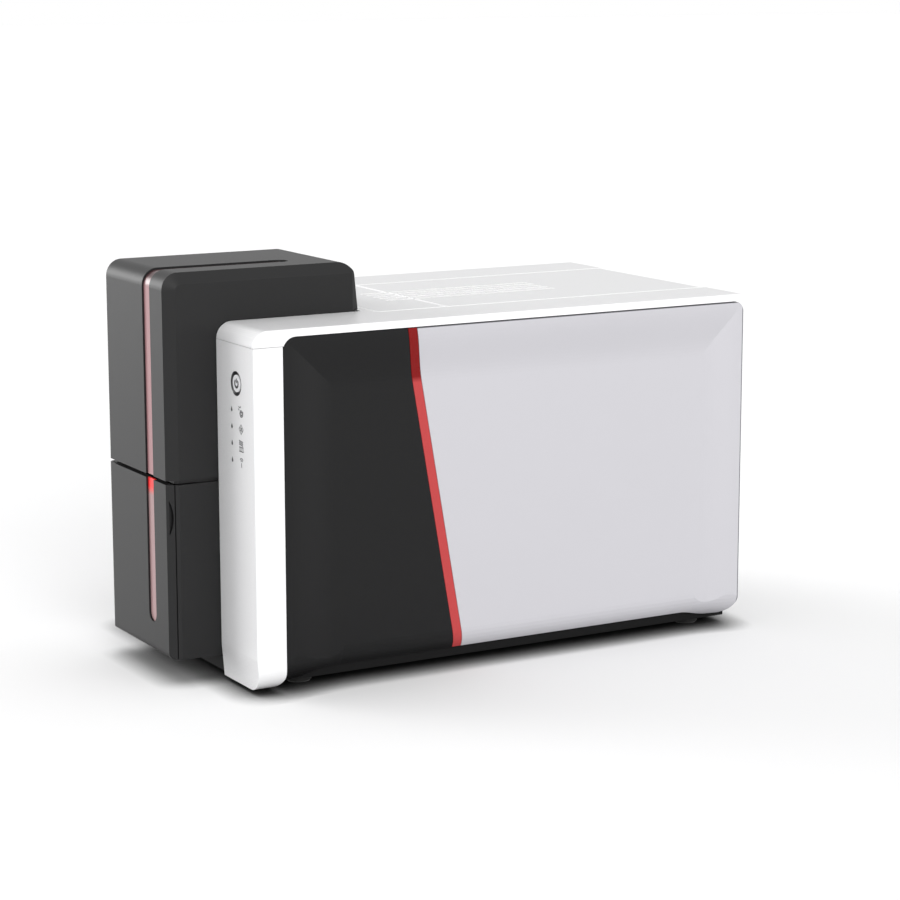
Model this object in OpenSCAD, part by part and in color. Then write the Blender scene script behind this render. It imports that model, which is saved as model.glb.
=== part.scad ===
// Desktop card printer: card feeder above an output hopper at the front, a rear hinged hood
// over the ribbon and print head, and dished side panels with a slanted stripe.
// Millimetres. +Z is up, the front faces -Y, the origin is under the middle of the footprint.

/* [Body] */
// Width over the side covers
body_w = 206; // [202:1:216]
// Length from the front strip to the rear panel
body_l = 344; // [338:1:360]
// Height of the top cover above the table
body_h = 217; // [214:1:224]
// Wall of the moulded covers
wall = 2.5; // [2.2:0.1:2.8]
// Radius of the top front edge
front_r = 10; // [7:0.5:12]
// Radius of the lower outer edge
skirt_r = 13; // [9:0.5:15]
// Clearance of the front skirt above the table
skirt_z = 3; // [2.5:0.1:3.6]
// Depth of the white front cover along the side
flange_l = 19; // [15:0.5:24]
// Height of the seam between front covers and top cover
shoulder_z = 207.2; // [204:0.1:209]

/* [Card tower] */
// Width of the feeder and hopper blocks
tower_w = 93; // [91:0.5:94]
// Sideways place of the middle of the tower
tower_x = 6.2; // [5.2:0.1:7.2]
// How far the tower stands out in front of the body
tower_out = 32; // [28:0.5:36]
// How far the tower runs back behind the front strip
tower_in = 96; // [94:0.5:98]
// Height of the feeder cover
tower_h = 247; // [245:0.5:255]
// Height of the seam between feeder and hopper
seam_z = 123; // [121:0.5:125]
// Width of that seam
seam_gap = 2.3; // [1.6:0.1:2.4]
// Height of the underside of the hopper
hopper_z = 15.6; // [15.2:0.1:18]
// Radius of the upper corners of the feeder cover
tower_r = 10; // [8:0.5:12]
// Width of the bevel round the side faces of the tower, measured on the side face
bevel_w = 6.7; // [5:0.1:7]
// Depth of that bevel, measured across the tower
bevel_d = 4.6; // [3:0.1:5]
// Radius of the door knuckle
edge_r = 5.5; // [4.5:0.1:6]
// Thickness of the hopper door
door_t = 4.3; // [4:0.1:4.8]
// Height of the finger scoop in the door edge
scoop_h = 21; // [12:0.5:24]
// Width of the level window
window_w = 11; // [8:0.5:13]
// Place of the level window from the middle of the tower
window_off = 18.5; // [14:0.5:20]
// Height of the lower end of the level window
window_z = 34; // [28:1:60]
// Length of the level window along the top
window_top = 93; // [70:1:98]
// How deep the level window lies in its slot
window_in = 1.2; // [0.4:0.1:1.4]

/* [Side panels] */
// Depth of the dish in each side panel
dish = 5; // [3.5:0.1:5.4]
// Width of the sloped border at the front
dish_front = 36; // [24:1:44]
// Width of the sloped border at the top
dish_top = 33; // [22:1:40]
// Width of the sloped border at the rear
dish_rear = 28; // [20:1:36]
// Height of the lower edge of the side panels
panel_z = 11.8; // [11:0.1:13]
// Height of their lower front corner
panel_foot = 5; // [4.4:0.1:6]
// Height at which they start to roll in towards the lower edge
roll_z = 23.8; // [22:0.2:26]
// Radius of that roll
roll_r = 19.5; // [18:0.5:20]
// Height of the white band above the side panels
band = 4.3; // [3.4:0.1:5]
// Width of the red stripe
stripe_w = 6.2; // [4:0.2:9]
// Place of the stripe behind the front strip, at its top
stripe_y = 101; // [80:1:120]
// Lean of the stripe, millimetres back for each millimetre down
stripe_lean = 0.174; // [0.1:0.01:0.3]

/* [Hood] */
// Width of the hood and of the release pad
hood_w = 122.6; // [118:0.2:126]
// Front edge of the hood, behind the front strip
hood_y = 151.3; // [150:0.1:152]
// Number of cooling slots
slots = 5; // [3:1:6]
// Spacing of the cooling slots
slot_pitch = 8.6; // [7:0.1:10]
// Width of a cooling slot
slot_w = 3.4; // [2:0.1:4.5]
// Front end of the slots behind the front strip
slot_y = 133.4; // [130:0.2:140]
// Length of the slots
slot_l = 122; // [90:1:124]
// How far the release pad travels down
pad_travel = 2; // [1:0.1:2.4]
// Diameter of the hinge pins
pin_d = 4; // [3.5:0.1:4.4]

/* [Controls] */
// Diameter of the ring round the power button
ring_d = 14.4; // [12:0.2:16]
// Diameter of the power button
button_d = 10.2; // [8:0.1:10.4]
// Place of the button and lights across the strip, from the outer side
button_in = 23.4; // [20:0.2:26]
// Height of the power button
button_z = 184.2; // [178:0.2:188]
// Height of the highest status light
light_z = 168; // [160:0.5:170]
// Spacing of the status lights
light_pitch = 10; // [8:0.5:11]

/* [Cards] */
// Length of a card
card_l = 85.6; // [85:0.1:86]
// Width of a card
card_w = 54; // [53.5:0.1:54.5]
// Thickness of the thickest card
card_t = 0.8; // [0.76:0.01:1]
// Height of the card stack that each hopper holds
stack_h = 78; // [74:1:80]

/* [Card drive] */
// Diameter of the driven rollers
roller_d = 13; // [12:0.2:13.4]
// Diameter of the roller shafts
shaft_d = 6; // [5:0.1:6.4]
// Diameter of the pinch rollers
pinch_d = 10; // [8.4:0.2:11]
// Diameter of the cleaning roller
cleaner_d = 15; // [12:0.2:16]
// Diameter of the pick roller
pick_d = 16; // [15:0.2:16.6]
// Module of the drive gears
gear_m = 0.8; // [0.78:0.01:0.82]
// Teeth of a roller gear
roller_teeth = 24; // [22:2:24]
// Teeth of an idler gear
idler_teeth = 34; // [34:4:38]
// Teeth of the motor pinion
pinion_teeth = 16; // [14:2:18]
// Width of the gears
gear_w = 6; // [4:0.5:7]
// Backlash at the pitch circle
backlash = 0.16; // [0.12:0.01:0.24]

/* [Ribbon] */
// Diameter of the full supply roll
supply_d = 40; // [30:1:42]
// Diameter of the take-up roll
takeup_d = 22; // [20:1:26]
// Diameter of the ribbon cores
core_d = 16; // [12:0.5:17]
// Height of the ribbon axes above the card track
ribbon_up = 40; // [38:0.5:42]

/* [Fits] */
// Gap between neighbouring covers
gap = 0.5; // [0.4:0.05:0.6]
// Gap under a piece that sits on another
seat = 0.3; // [0.2:0.05:0.3]
// Radial clearance of a shaft in its bore
run = 0.05; // [0.03:0.01:0.08]

/* [Hidden] */
$fn = 48;

// Main planes
y_front = (tower_out - body_l) / 2;
y_rear = y_front + body_l;
y_tower = y_front - tower_out;
y_back = y_front + tower_in;
x_side = body_w / 2;
top_in = body_h - wall;
tower_l = tower_x - tower_w / 2;
tower_r_x = tower_x + tower_w / 2;
z_cover = seam_z + seam_gap / 2;
z_hopper = seam_z - seam_gap / 2;
track_z = seam_z + 5;
card_gap = card_t;

// Chassis
plate_t = 1.5;
plate_half = 46;
plate_l = tower_x - plate_half;
plate_r = tower_x + plate_half;
plate_y = y_back + 3;
plate_top = body_h - 21;
tray_top = 13;
tray_z = 4.5;
tray_x = x_side - 15;
tray_y = y_front + flange_l + gap;
foot_r = 8;

// Hood hinge
hood_front = y_front + hood_y + gap / 2;
hinge_y = y_rear - 8;
hinge_z = body_h - 9;
ear_r = pin_d / 2 + 2.5;
apron_z = hinge_z - 7.5;
pad_front = y_back + 7;
pad_back = y_front + hood_y - gap / 2;

// Feeder cover hinge
flap_y = y_back - 10;
flap_z = tower_h - 21;
flap_r = pin_d / 2 + 3;
// Direction of the free edge of the hinge arms, clear of the cover when it is open
arm_slope = -132;

// Card drive
roller_r = roller_d / 2;
shaft_r = shaft_d / 2;
head_y = y_front + hood_y + 52.7;
axle_z = track_z - roller_r;
gear_step = gear_m * (roller_teeth + idler_teeth) / 2;
row_step = 2 * gear_step;
gear_x1 = plate_l - plate_t - 2.2;
gear_x0 = gear_x1 - gear_w;
motor_drop = gear_m * (idler_teeth + pinion_teeth) / 2;
pick_y = y_tower + 83;
rubber_half = card_w / 2 - 3;

// Ribbon
ribbon_z = track_z + ribbon_up;
supply_y = head_y + 52;
takeup_y = head_y - 46;
film_t = 0.3;
film_z = track_z + card_gap + 0.15;

// Card bays
bay_half = card_w / 2 + 0.4;
bay_y0 = y_tower + 9;
bay_y1 = bay_y0 + card_l + 1.8;
floor_z = track_z + 1.6;
mag_wall = 2;

// Door
door_y = y_tower + door_t;
knuckle = [tower_l + edge_r, y_tower + edge_r];

// Points of an arc
function arc(c, r, a0, a1, n = 10) =
    [for (i = [0:n]) c + r * [cos(a0 + (a1 - a0) * i / n), sin(a0 + (a1 - a0) * i / n)]];

// Place of the roller that lies k steps behind the platen
function row_y(k) = head_y + k * row_step;

// Box between two corners
module slab(lo, hi) {
    translate(lo)
        cube(hi - lo);
}

// Outline drawn in Y and Z, made into a solid from x0 to x1
module along_x(x0, x1) {
    translate([x0, 0, 0])
        rotate([90, 0, 90])
            linear_extrude(x1 - x0)
                children();
}

// Outline drawn in X and Z, made into a solid from y0 to y1
module along_y(y0, y1) {
    translate([0, y1, 0])
        rotate([90, 0, 0])
            linear_extrude(y1 - y0)
                children();
}

// Round bar along X, with its axis at p = [y, z]
module bar_x(p, r, x0, x1) {
    translate([x0, p[0], p[1]])
        rotate([0, 90, 0])
            cylinder(r = r, h = x1 - x0);
}

// Round bar along Y, with its axis at p = [x, z]
module bar_y(p, r, y0, y1) {
    translate([p[0], y0, p[1]])
        rotate([-90, 0, 0])
            cylinder(r = r, h = y1 - y0);
}

// Rectangle with its own radius at each corner: lower left, lower right, upper right, upper left
module round_rect(lo, hi, r) {
    polygon(concat(
        arc([lo[0] + r[0], lo[1] + r[0]], r[0], 180, 270),
        arc([hi[0] - r[1], lo[1] + r[1]], r[1], 270, 360),
        arc([hi[0] - r[2], hi[1] - r[2]], r[2], 0, 90),
        arc([lo[0] + r[3], hi[1] - r[3]], r[3], 90, 180)
    ));
}

// Base

module tray_plan(d) {
    polygon([
        [-tray_x + d, tray_y + d], [tower_l + d, tray_y + d], [tower_l + d, y_front + 3 + d],
        [tower_r_x - d, y_front + 3 + d], [tower_r_x - d, tray_y + d], [tray_x - d, tray_y + d],
        [tray_x - d, y_rear - 1 - d], [-tray_x + d, y_rear - 1 - d]
    ]);
}

module foot_places() {
    for (x = [-1, 1])
        for (y = [y_front + 40, y_rear - 22])
            translate([x * (tray_x - 13), y, 0])
                children();
}

board_y0 = y_rear - 148;
board_y1 = y_rear - 12;
board_z = tray_z + wall + 9;
board_x0 = plate_l + 5;
board_x1 = plate_r - 5;

module base_tray() {
    color("#1d1d1f")
    union() {
        difference() {
            translate([0, 0, tray_z])
                linear_extrude(tray_top - tray_z)
                    tray_plan(0);
            translate([0, 0, tray_z + wall])
                linear_extrude(tray_top)
                    tray_plan(wall);
        }
        // Posts that carry the hopper block
        for (x = [tower_x - 30, tower_x + 30])
            for (y = [y_front + 20, y_back - 16])
                translate([x, y, tray_z + 1])
                    cylinder(r = 5, h = hopper_z - seat - tray_z - 1);
        // Posts that carry the main board
        for (x = [board_x0 + 6, board_x1 - 6])
            for (y = [board_y0 + 6, board_y1 - 6])
                translate([x, y, tray_z + 1])
                    cylinder(r = 3, h = board_z - tray_z - 1);
        // Ribs across the floor
        for (y = [y_back + 30, y_back + 75])
            slab([plate_l + 3, y, tray_z + 1], [plate_r - 3, y + 2, tray_top - 2]);
    }
}

module feet() {
    color("#141414")
    foot_places()
        rotate_extrude()
            polygon([[0, 0], [foot_r - 1, 0], [foot_r, 1], [foot_r, tray_z], [0, tray_z]]);
}

// Chassis plates

module plate_outline() {
    difference() {
        union() {
            polygon([
                [plate_y, tray_z + wall + seat], [y_rear - 6, tray_z + wall + seat],
                [y_rear - 6, plate_top - 30], [y_rear - 24, plate_top - 12],
                [y_rear - 24, hinge_z - ear_r], [hinge_y, hinge_z - ear_r],
                [hinge_y, hinge_z + ear_r], [y_rear - 40, hinge_z + ear_r],
                [y_rear - 50, plate_top], [pad_back - 2, plate_top],
                [pad_back - 2, plate_top + 8], [plate_y, plate_top + 8]
            ]);
            translate([hinge_y, hinge_z])
                circle(r = ear_r);
        }
        translate([hinge_y, hinge_z])
            circle(r = pin_d / 2 + run);
        for (k = [-2:1])
            translate([row_y(k), axle_z])
                circle(r = shaft_r + run);
        for (k = [-2, 1])
            translate([row_y(k), pinch_z()])
                circle(r = pinch_shaft + run);
        translate([row_y(-1), cleaner_z()])
            circle(r = pinch_shaft + run);
        for (y = [supply_y, takeup_y])
            spool_slot(y);
        // Weight saving windows
        round_rect([y_back + 22, 30], [y_back + 92, 92], [8, 8, 8, 8]);
        round_rect([y_back + 112, 36], [y_back + 192, 98], [8, 8, 8, 8]);
    }
}

pinch_shaft = 2.5;
function pinch_z() = track_z + card_gap + pinch_d / 2;
function cleaner_z() = track_z + card_gap + cleaner_d / 2;
spindle_r = 4;

module spool_slot(y) {
    translate([y, ribbon_z])
        circle(r = spindle_r + run);
    polygon([
        [y - spindle_r - run, ribbon_z], [y + spindle_r + run, ribbon_z],
        [y + spindle_r + 2.5, plate_top + 20], [y - spindle_r - 2.5, plate_top + 20]
    ]);
}

module side_plate_right() {
    color("#b8bcc0")
    union() {
        along_x(plate_r, plate_r + plate_t)
            plate_outline();
        // Foot flange on the tray
        slab([plate_r, plate_y + 12, tray_z + wall + seat],
            [plate_r + 12, y_rear - 20, tray_z + wall + seat + plate_t]);
    }
}

module side_plate_left() {
    color("#b8bcc0")
    union() {
        along_x(plate_l - plate_t, plate_l)
            plate_outline();
        // Studs of the idler gears
        for (k = [-1.5:1:0.5])
            bar_x([row_y(k), axle_z], stud_r, gear_x0 - 1.5, plate_l - plate_t / 2);
        for (k = [-1.5:1:0.5])
            bar_x([row_y(k), axle_z], stud_r + 2, gear_x1 + seat, plate_l - plate_t / 2);
        slab([plate_l - 12, plate_y + 12, tray_z + wall + seat],
            [plate_l, y_rear - 20, tray_z + wall + seat + plate_t]);
    }
}

stud_r = 2.5;

// Bridge under the release pad
post_r = 2;
bridge_z = plate_top + 4;

module pad_posts(r, z0, z1) {
    for (x = [tower_x - 34, tower_x + 34])
        for (y = [pad_front + 9, pad_back - 9])
            translate([x, y, z0])
                cylinder(r = r, h = z1 - z0);
}

module cross_bridge() {
    color("#8f9498")
    difference() {
        union() {
            slab([plate_l + seat, pad_front + 2, bridge_z],
                [plate_r - seat, pad_back - 2, bridge_z + 2]);
            for (x = [plate_l + seat, plate_r - seat - plate_t])
                slab([x, pad_front + 2, bridge_z - 14], [x + plate_t, pad_back - 2, bridge_z + 1]);
            pad_posts(post_r + 2.5, bridge_z - 3, bridge_z + 1);
        }
        pad_posts(post_r + run, bridge_z - 4, bridge_z + 4);
        slab([tower_x - 20, pad_front + 12, bridge_z - 1],
            [tower_x + 20, pad_back - 12, bridge_z + 3]);
    }
}

// Card track
guide_half = card_w / 2 + 0.5;

module card_guide() {
    color("#2a2c30")
    difference() {
        union() {
            slab([plate_l + seat, plate_y + 1, track_z - wall],
                [plate_r - seat, y_rear - 30, track_z]);
            for (s = [-1, 1])
                translate([tower_x + s * (guide_half + 1), 0, 0])
                    slab([-1, plate_y + 1, track_z - wall], [1, y_rear - 30, film_z + 0.2]);
            for (x = [plate_l + seat, plate_r - seat - 2])
                slab([x, plate_y + 1, track_z - 3], [x + 2, y_rear - 30, track_z + 3]);
        }
        for (k = [-2:1])
            slab([tower_x - rubber_half - 1, row_y(k) - roller_r - 0.8, track_z - 20],
                [tower_x + rubber_half + 1, row_y(k) + roller_r + 0.8, track_z + 20]);
        // Room for the shafts in the upstands
        for (k = [-2:1])
            bar_x([row_y(k), axle_z], shaft_r + 1, plate_l - 1, plate_r + 1);
        for (k = [-2, 1])
            bar_x([row_y(k), pinch_z()], pinch_shaft + 1, plate_l - 1, plate_r + 1);
        bar_x([row_y(-1), cleaner_z()], pinch_shaft + 1, plate_l - 1, plate_r + 1);
        // Long lightening slots
        for (s = [-1, 1])
            translate([tower_x + s * 37, 0, 0])
                slab([-3, head_y + 12, track_z - 5], [3, head_y + 34, track_z + 5]);
    }
}

// Covers

// Body section across the width, from the table up
module skirt_outline(x0, x1, z1) {
    polygon(concat(
        [[x0, skirt_z]],
        arc([x1 - skirt_r, skirt_z + skirt_r], skirt_r, 270, 360, 14),
        [[x1, z1], [x0, z1]]
    ));
}

chin_h = 20;
chin_back = 1.6;

// Side view of the front cover: the chin leans back a little and the flange has a round corner
module flange_outline(d) {
    polygon(concat(
        [[y_front + chin_back + d, skirt_z - 5]],
        [[y_front + chin_back + d, skirt_z + d]],
        [[y_front + d, skirt_z + chin_h]],
        [[y_front + d, shoulder_z + 5]],
        [[y_front + flange_l, shoulder_z + 5]],
        arc([y_front + flange_l - flange_r, skirt_z + flange_r], flange_r, 360, 270),
        [[y_front + flange_l - flange_r, skirt_z - 5]]
    ));
}

flange_r = 9;

module front_cover(x_in) {
    difference() {
        intersection() {
            along_y(y_front - 1, y_front + flange_l + 1)
                skirt_outline(x_in, x_side, shoulder_z);
            along_x(x_in - 1, x_side + 1)
                flange_outline(0);
        }
        intersection() {
            along_y(y_front, y_front + flange_l + 2)
                polygon(concat(
                    [[x_in + wall, skirt_z + wall]],
                    arc([x_side - skirt_r, skirt_z + skirt_r], skirt_r - wall, 270, 360, 14),
                    [[x_side - wall, shoulder_z - wall], [x_in + wall, shoulder_z - wall]]
                ));
            along_x(x_in - 1, x_side + 1)
                polygon([
                    [y_front + chin_back + wall, skirt_z], [y_front + wall, skirt_z + chin_h],
                    [y_front + wall, body_h], [y_front + flange_l + 5, body_h],
                    [y_front + flange_l + 5, skirt_z]
                ]);
        }
    }
}

// Drop shaped ends of the light guides
module light_drops(r, y0, y1) {
    for (i = [0:3])
        translate([light_x, 0, light_z - i * light_pitch])
            along_y(y0, y1) {
                circle(r = r);
                polygon([[-0.88 * r, 0.48 * r], [0, 2.2 * r], [0.88 * r, 0.48 * r], [0, -0.5 * r]]);
            }
}

drop_r = 1;
button_x = x_side - button_in;
light_x = button_x - 6.6;

module front_cover_right() {
    color("#f4f4f4")
    difference() {
        front_cover(tower_r_x + gap);
        bar_y([button_x, button_z], ring_d / 2 + 0.1, y_front - 1, y_front + wall + 1);
        light_drops(drop_r + 0.1, y_front - 1, y_front + wall + 1);
    }
}

module front_cover_left() {
    color("#f4f4f4")
    mirror([1, 0, 0])
        front_cover(-tower_l + gap);
}

module top_profile(d, z0) {
    polygon(concat(
        [[y_front + d, z0]],
        arc([y_front + front_r, body_h - front_r], front_r - d, 180, 90, 12),
        [[y_rear - d, body_h - d], [y_rear - d, z0]]
    ));
}

// Web between the front cover and the round upper corner of the side panel
module corner_web() {
    polygon(concat(
        [[y_front, body_h], [y_front, shoulder_z - 2], [panel_y0 - gap, shoulder_z - 2]],
        arc([panel_y0 + 8, panel_top - 8], 8 + gap, 180, 90),
        [[panel_y0 + 8, body_h]]
    ));
}

module top_cover() {
    color("#f4f4f4")
    difference() {
        along_x(-x_side, x_side)
            top_profile(0, shoulder_z - 5);
        along_x(-x_side + wall, x_side - wall)
            top_profile(wall, shoulder_z - 5);
        slab([-x_side - 1, y_front - 1, shoulder_z - 6],
            [x_side + 1, y_rear + 1, shoulder_z + gap / 2]);
        // Lower edge above the side panels, with a fillet at their round front corner
        along_x(-x_side - 1, x_side + 1)
            difference() {
                polygon([
                    [y_front + flange_l + gap / 2, shoulder_z - 1], [y_rear + 1, shoulder_z - 1],
                    [y_rear + 1, body_h - band], [y_front + flange_l + gap / 2, body_h - band]
                ]);
                corner_web();
            }
        // Opening for the tower
        slab([tower_l - gap, y_front - 1, shoulder_z - 1], [tower_r_x + gap, y_back + gap, body_h + 1]);
        // Opening for the hood and the release pad
        translate([0, 0, shoulder_z - 1])
            linear_extrude(body_h)
                round_rect([-hood_w / 2 - gap, pad_front - gap], [hood_w / 2 + gap, y_rear + 20],
                    [4, 4, 1, 1]);
    }
}

// Dished side panels

steps = 14;
roll_out = 0.5;

// Depth of the dish across a border of width w: a smooth curve from 0 to 1
function ease(t) = t * t * (3 - 2 * t);

module dish_along_z(d) {
    translate([0, 0, -1])
        linear_extrude(body_h + 2)
            polygon(concat(
                [for (i = [0:steps]) [x_side - d - dish * ease(i / steps),
                    panel_y0 + dish_front * i / steps]],
                [for (i = [steps:-1:0]) [x_side - d - dish * ease(i / steps),
                    y_rear - dish_rear * i / steps]],
                [[x_side + 5, y_rear + 5], [x_side + 5, panel_y0 - 5]]
            ));
}

module dish_along_y(d) {
    along_y(panel_y0 - 1, y_rear + 1)
        polygon(concat(
            [for (i = [0:steps]) [x_side - d - dish * ease(i / steps),
                panel_top - dish_top * i / steps]],
            [[x_side - d - dish, -1], [x_side + 5, -1], [x_side + 5, panel_top + 1]]
        ));
}

// Space outside a rolled lower edge that passes the point [x, y] at an angle to the side;
// t is the skin that is left on the inside
module roll_line(x, y, turn, t) {
    far = 400;
    translate([x, y, 0])
        rotate([0, 0, turn])
            along_y(-far, far)
                polygon(concat(
                    arc([-roll_r, roll_z], roll_r - t, 0, -90, 12),
                    [[-roll_r, -1], [far / 4, -1], [far / 4, roll_z]]
                ));
}

// The roll follows the dish: straight in the middle, and slanted outwards at both ends
module roll_cut(t) {
    intersection() {
        roll_line(x_side - dish, 0, 0, t);
        roll_line(x_side + roll_out, panel_y0, atan(dish / dish_front), t);
        roll_line(x_side + roll_out, y_rear, -atan(dish / dish_rear), t);
    }
}

panel_y0 = y_front + flange_l + gap;
panel_top = body_h - band - gap;
panel_x0 = tray_x + gap;
// Side view of a panel: the lower edge comes down at both ends
module panel_outline(d) {
    polygon(concat(
        [for (i = [0:8]) [y_rear - 40 + 22 * i / 8, panel_z + d - 3.5 * ease(i / 8)]],
        arc([y_rear - 11 - d, panel_z + 7.5], 11, 275, 360),
        arc([y_rear - 6 - d, panel_top - 6 - d], 6, 0, 90),
        arc([panel_y0 + 8 + d, panel_top - 8 - d], 8, 90, 180),
        [[panel_y0 + d, panel_foot + 1.5 + d], [panel_y0 + 1.5 + d, panel_foot + d]],
        [for (i = [0:8]) [panel_y0 + 7 + 20 * i / 8, panel_foot + d
            + (panel_z - panel_foot) * ease(i / 8)]]
    ));
}

// Whole right-hand side panel, before it is split at the stripe
module dished_panel() {
    difference() {
        along_x(panel_x0, x_side)
            panel_outline(0);
        // Only the rolled edge is deeper than the dish
        slab([0, panel_y0 - 1, roll_z - 2], [x_side - dish - wall, y_rear + 1, body_h]);
        intersection() {
            dish_along_z(0);
            dish_along_y(0);
        }
        roll_cut(0);
        // Hollow back, with a lip round the edge
        difference() {
            along_x(x_side - 30, x_side)
                panel_outline(wall);
            intersection() {
                dish_along_z(wall);
                dish_along_y(wall);
            }
            roll_cut(wall);
        }
    }
}

// Part of the side view between two slanted lines, d behind the front edge of the stripe
module slant(d0, d1) {
    along_x(x_side - 30, x_side + 5)
        polygon([
            [y_front + stripe_y + d0, panel_top], [y_front + stripe_y + d1, panel_top],
            [y_front + stripe_y + d1 + stripe_lean * panel_top, 0],
            [y_front + stripe_y + d0 + stripe_lean * panel_top, 0]
        ]);
}

module panel_dark() {
    color("#303030")
    intersection() {
        dished_panel();
        slant(-200, -seat / 2);
    }
}

module stripe() {
    color("#c43a36")
    intersection() {
        dished_panel();
        slant(seat / 2, stripe_w - seat / 2);
    }
}

module panel_grey() {
    color("#d9d8dd")
    intersection() {
        dished_panel();
        slant(stripe_w + seat / 2, 400);
    }
}

wall_x = x_side - dish - wall - seat;
plate_w = 2;
shelf_w = 8;

// Section of the side wall: it steps in above the tray, clear of the rolled panel edge
module side_wall() {
    color("#232326")
    difference() {
        along_y(panel_y0 + wall + gap, y_rear - wall - seat)
            polygon([
                [wall_x - shelf_w, top_in - seat], [wall_x, top_in - seat], [wall_x, roll_z + 3],
                [tray_x, roll_z - 4], [tray_x, tray_top + seat],
                [tray_x - shelf_w, tray_top + seat], [tray_x - shelf_w, tray_top + seat + plate_w],
                [tray_x - plate_w, tray_top + seat + plate_w], [tray_x - plate_w, roll_z - 3],
                [wall_x - plate_w, roll_z + 4], [wall_x - plate_w, top_in - seat - plate_w],
                [wall_x - shelf_w, top_in - seat - plate_w]
            ]);
        // Cable and cooling openings
        for (y = [y_back + 20, y_back + 130])
            along_x(x_side - 30, x_side)
                round_rect([y, 60], [y + 70, 150], [10, 10, 10, 10]);
    }
}

rear_x = wall_x - seat;

module rear_panel() {
    color("#ececee")
    difference() {
        along_y(y_rear - wall, y_rear)
            polygon([
                [-tray_x, tray_top + seat], [tray_x, tray_top + seat],
                [tray_x, roll_z], [rear_x, roll_z],
                [rear_x, panel_top], [hood_w / 2 + gap, panel_top],
                [hood_w / 2 + gap, apron_z - 2.6], [-hood_w / 2 - gap, apron_z - 2.6],
                [-hood_w / 2 - gap, panel_top], [-rear_x, panel_top],
                [-rear_x, roll_z], [-tray_x, roll_z]
            ]);
        // Cut-outs for the sockets
        for (p = ports)
            slab([p[0] - gap / 2, y_rear - wall - 1, board_z + 1.6 - gap / 2],
                [p[0] + p[1] + gap / 2, y_rear + 1, board_z + 1.6 + p[2] + gap / 2]);
        // Lock slot
        slab([70, y_rear - wall - 1, 60], [77, y_rear + 1, 63]);
        // Cooling slots
        for (i = [0:6])
            along_y(y_rear - wall - 1, y_rear + 1)
                round_rect([-46, 110 + 9 * i], [46, 113 + 9 * i], [1.4, 1.4, 1.4, 1.4]);
    }
}

// Sockets: left edge, width and height of each
ports = [[-24, 16.5, 13.8], [4, 12.4, 11.4], [28, 14, 12]];

// Hood

module slot_cuts(z0, z1) {
    for (i = [0:slots - 1])
        translate([(i - (slots - 1) / 2) * slot_pitch, 0, z0])
            linear_extrude(z1 - z0)
                round_rect([-slot_w / 2, y_front + slot_y],
                    [slot_w / 2, y_front + slot_y + slot_l],
                    [slot_w / 2.2, slot_w / 2.2, slot_w / 2.2, slot_w / 2.2]);
}

// Cross section of the hood and pad skin, with bevelled edges that show as light lines
module skin_section() {
    bevel = 0.9;
    w = hood_w / 2;
    polygon([
        [-w, top_in], [w, top_in], [w, body_h - bevel], [w - bevel, body_h],
        [-w + bevel, body_h], [-w, body_h - bevel]
    ]);
}

module hood_cover() {
    color("#f4f4f4")
    difference() {
        intersection() {
            union() {
                along_y(hood_front, y_rear)
                    skin_section();
                slab([-hood_w / 2, y_rear - wall, apron_z], [hood_w / 2, y_rear, top_in + 1]);
                slab([-hood_w / 2 + 2, hood_front, top_in - 2],
                    [hood_w / 2 - 2, hood_front + 2, top_in + 1]);
            }
            along_x(-body_w, body_w)
                polygon(concat(
                    [[hood_front, apron_z - 1], [hood_front, body_h - 0.9],
                        [hood_front + 0.9, body_h]],
                    arc([y_rear - 4, body_h - 4], 4, 90, 0),
                    [[y_rear, apron_z - 1]]
                ));
        }
        slot_cuts(body_h - 6, body_h + 1);
    }
}

rail_x = [plate_l + 1.3, plate_r - 1.3 - 3];
head_post_y = head_y + 3;
rail_z = body_h - 13;

module hood_frame() {
    color("#2a2c30")
    difference() {
        union() {
            for (x = rail_x)
                along_x(x, x + 3)
                    polygon(concat(
                        [[hood_front + 3, top_in], [hood_front + 3, rail_z + 3],
                            [hood_front + 20, rail_z]],
                        [[hinge_y - 12, rail_z]],
                        arc([hinge_y, hinge_z], ear_r, 235, 360),
                        [[hinge_y + ear_r, top_in]]
                    ));
            for (y = [hood_front + 8, head_y - 16, head_y + 22, head_y + 80])
                slab([rail_x[0] + 1, y, rail_z + 2], [rail_x[1] + 1, y + 2.4, top_in]);
            // Cross plate that guides the head posts
            slab([rail_x[0] + 1, head_y - 15, rail_z], [rail_x[1] + 1, head_y + 23, rail_z + 3]);
        }
        for (x = rail_x)
            bar_x([hinge_y, hinge_z], pin_d / 2 + run, x - 1, x + 4);
        head_posts(post_r + run, rail_z - 1, rail_z + 4);
    }
}

module hood_pin() {
    color("#c8ccd0")
    bar_x([hinge_y, hinge_z], pin_d / 2, plate_l - plate_t - 2, plate_r + plate_t + 2);
}

// Print head

head_half = card_w / 2 - 0.6;
head_z = film_z + film_t + 0.35;

module head_posts(r, z0, z1) {
    for (x = [tower_x - 20, tower_x + 20])
        translate([x, head_post_y, z0])
            cylinder(r = r, h = z1 - z0);
}

module head_bracket() {
    color("#aeb2b6")
    union() {
        // Backbone with cooling fins
        slab([tower_x - head_half, head_y - 6, head_z + 18],
            [tower_x + head_half, head_y + 10, head_z + 26]);
        for (i = [0:9])
            slab([tower_x - head_half + i * (2 * head_half - 2) / 9, head_y - 6, head_z + 25],
                [tower_x - head_half + i * (2 * head_half - 2) / 9 + 2, head_y + 10,
                    head_z + 52]);
        slab([tower_x - head_half, head_y, head_z + 48],
            [tower_x + head_half, head_y + 6, head_z + 54]);
        head_posts(post_r, head_z + 50, top_in - 3.4);
    }
}

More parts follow.
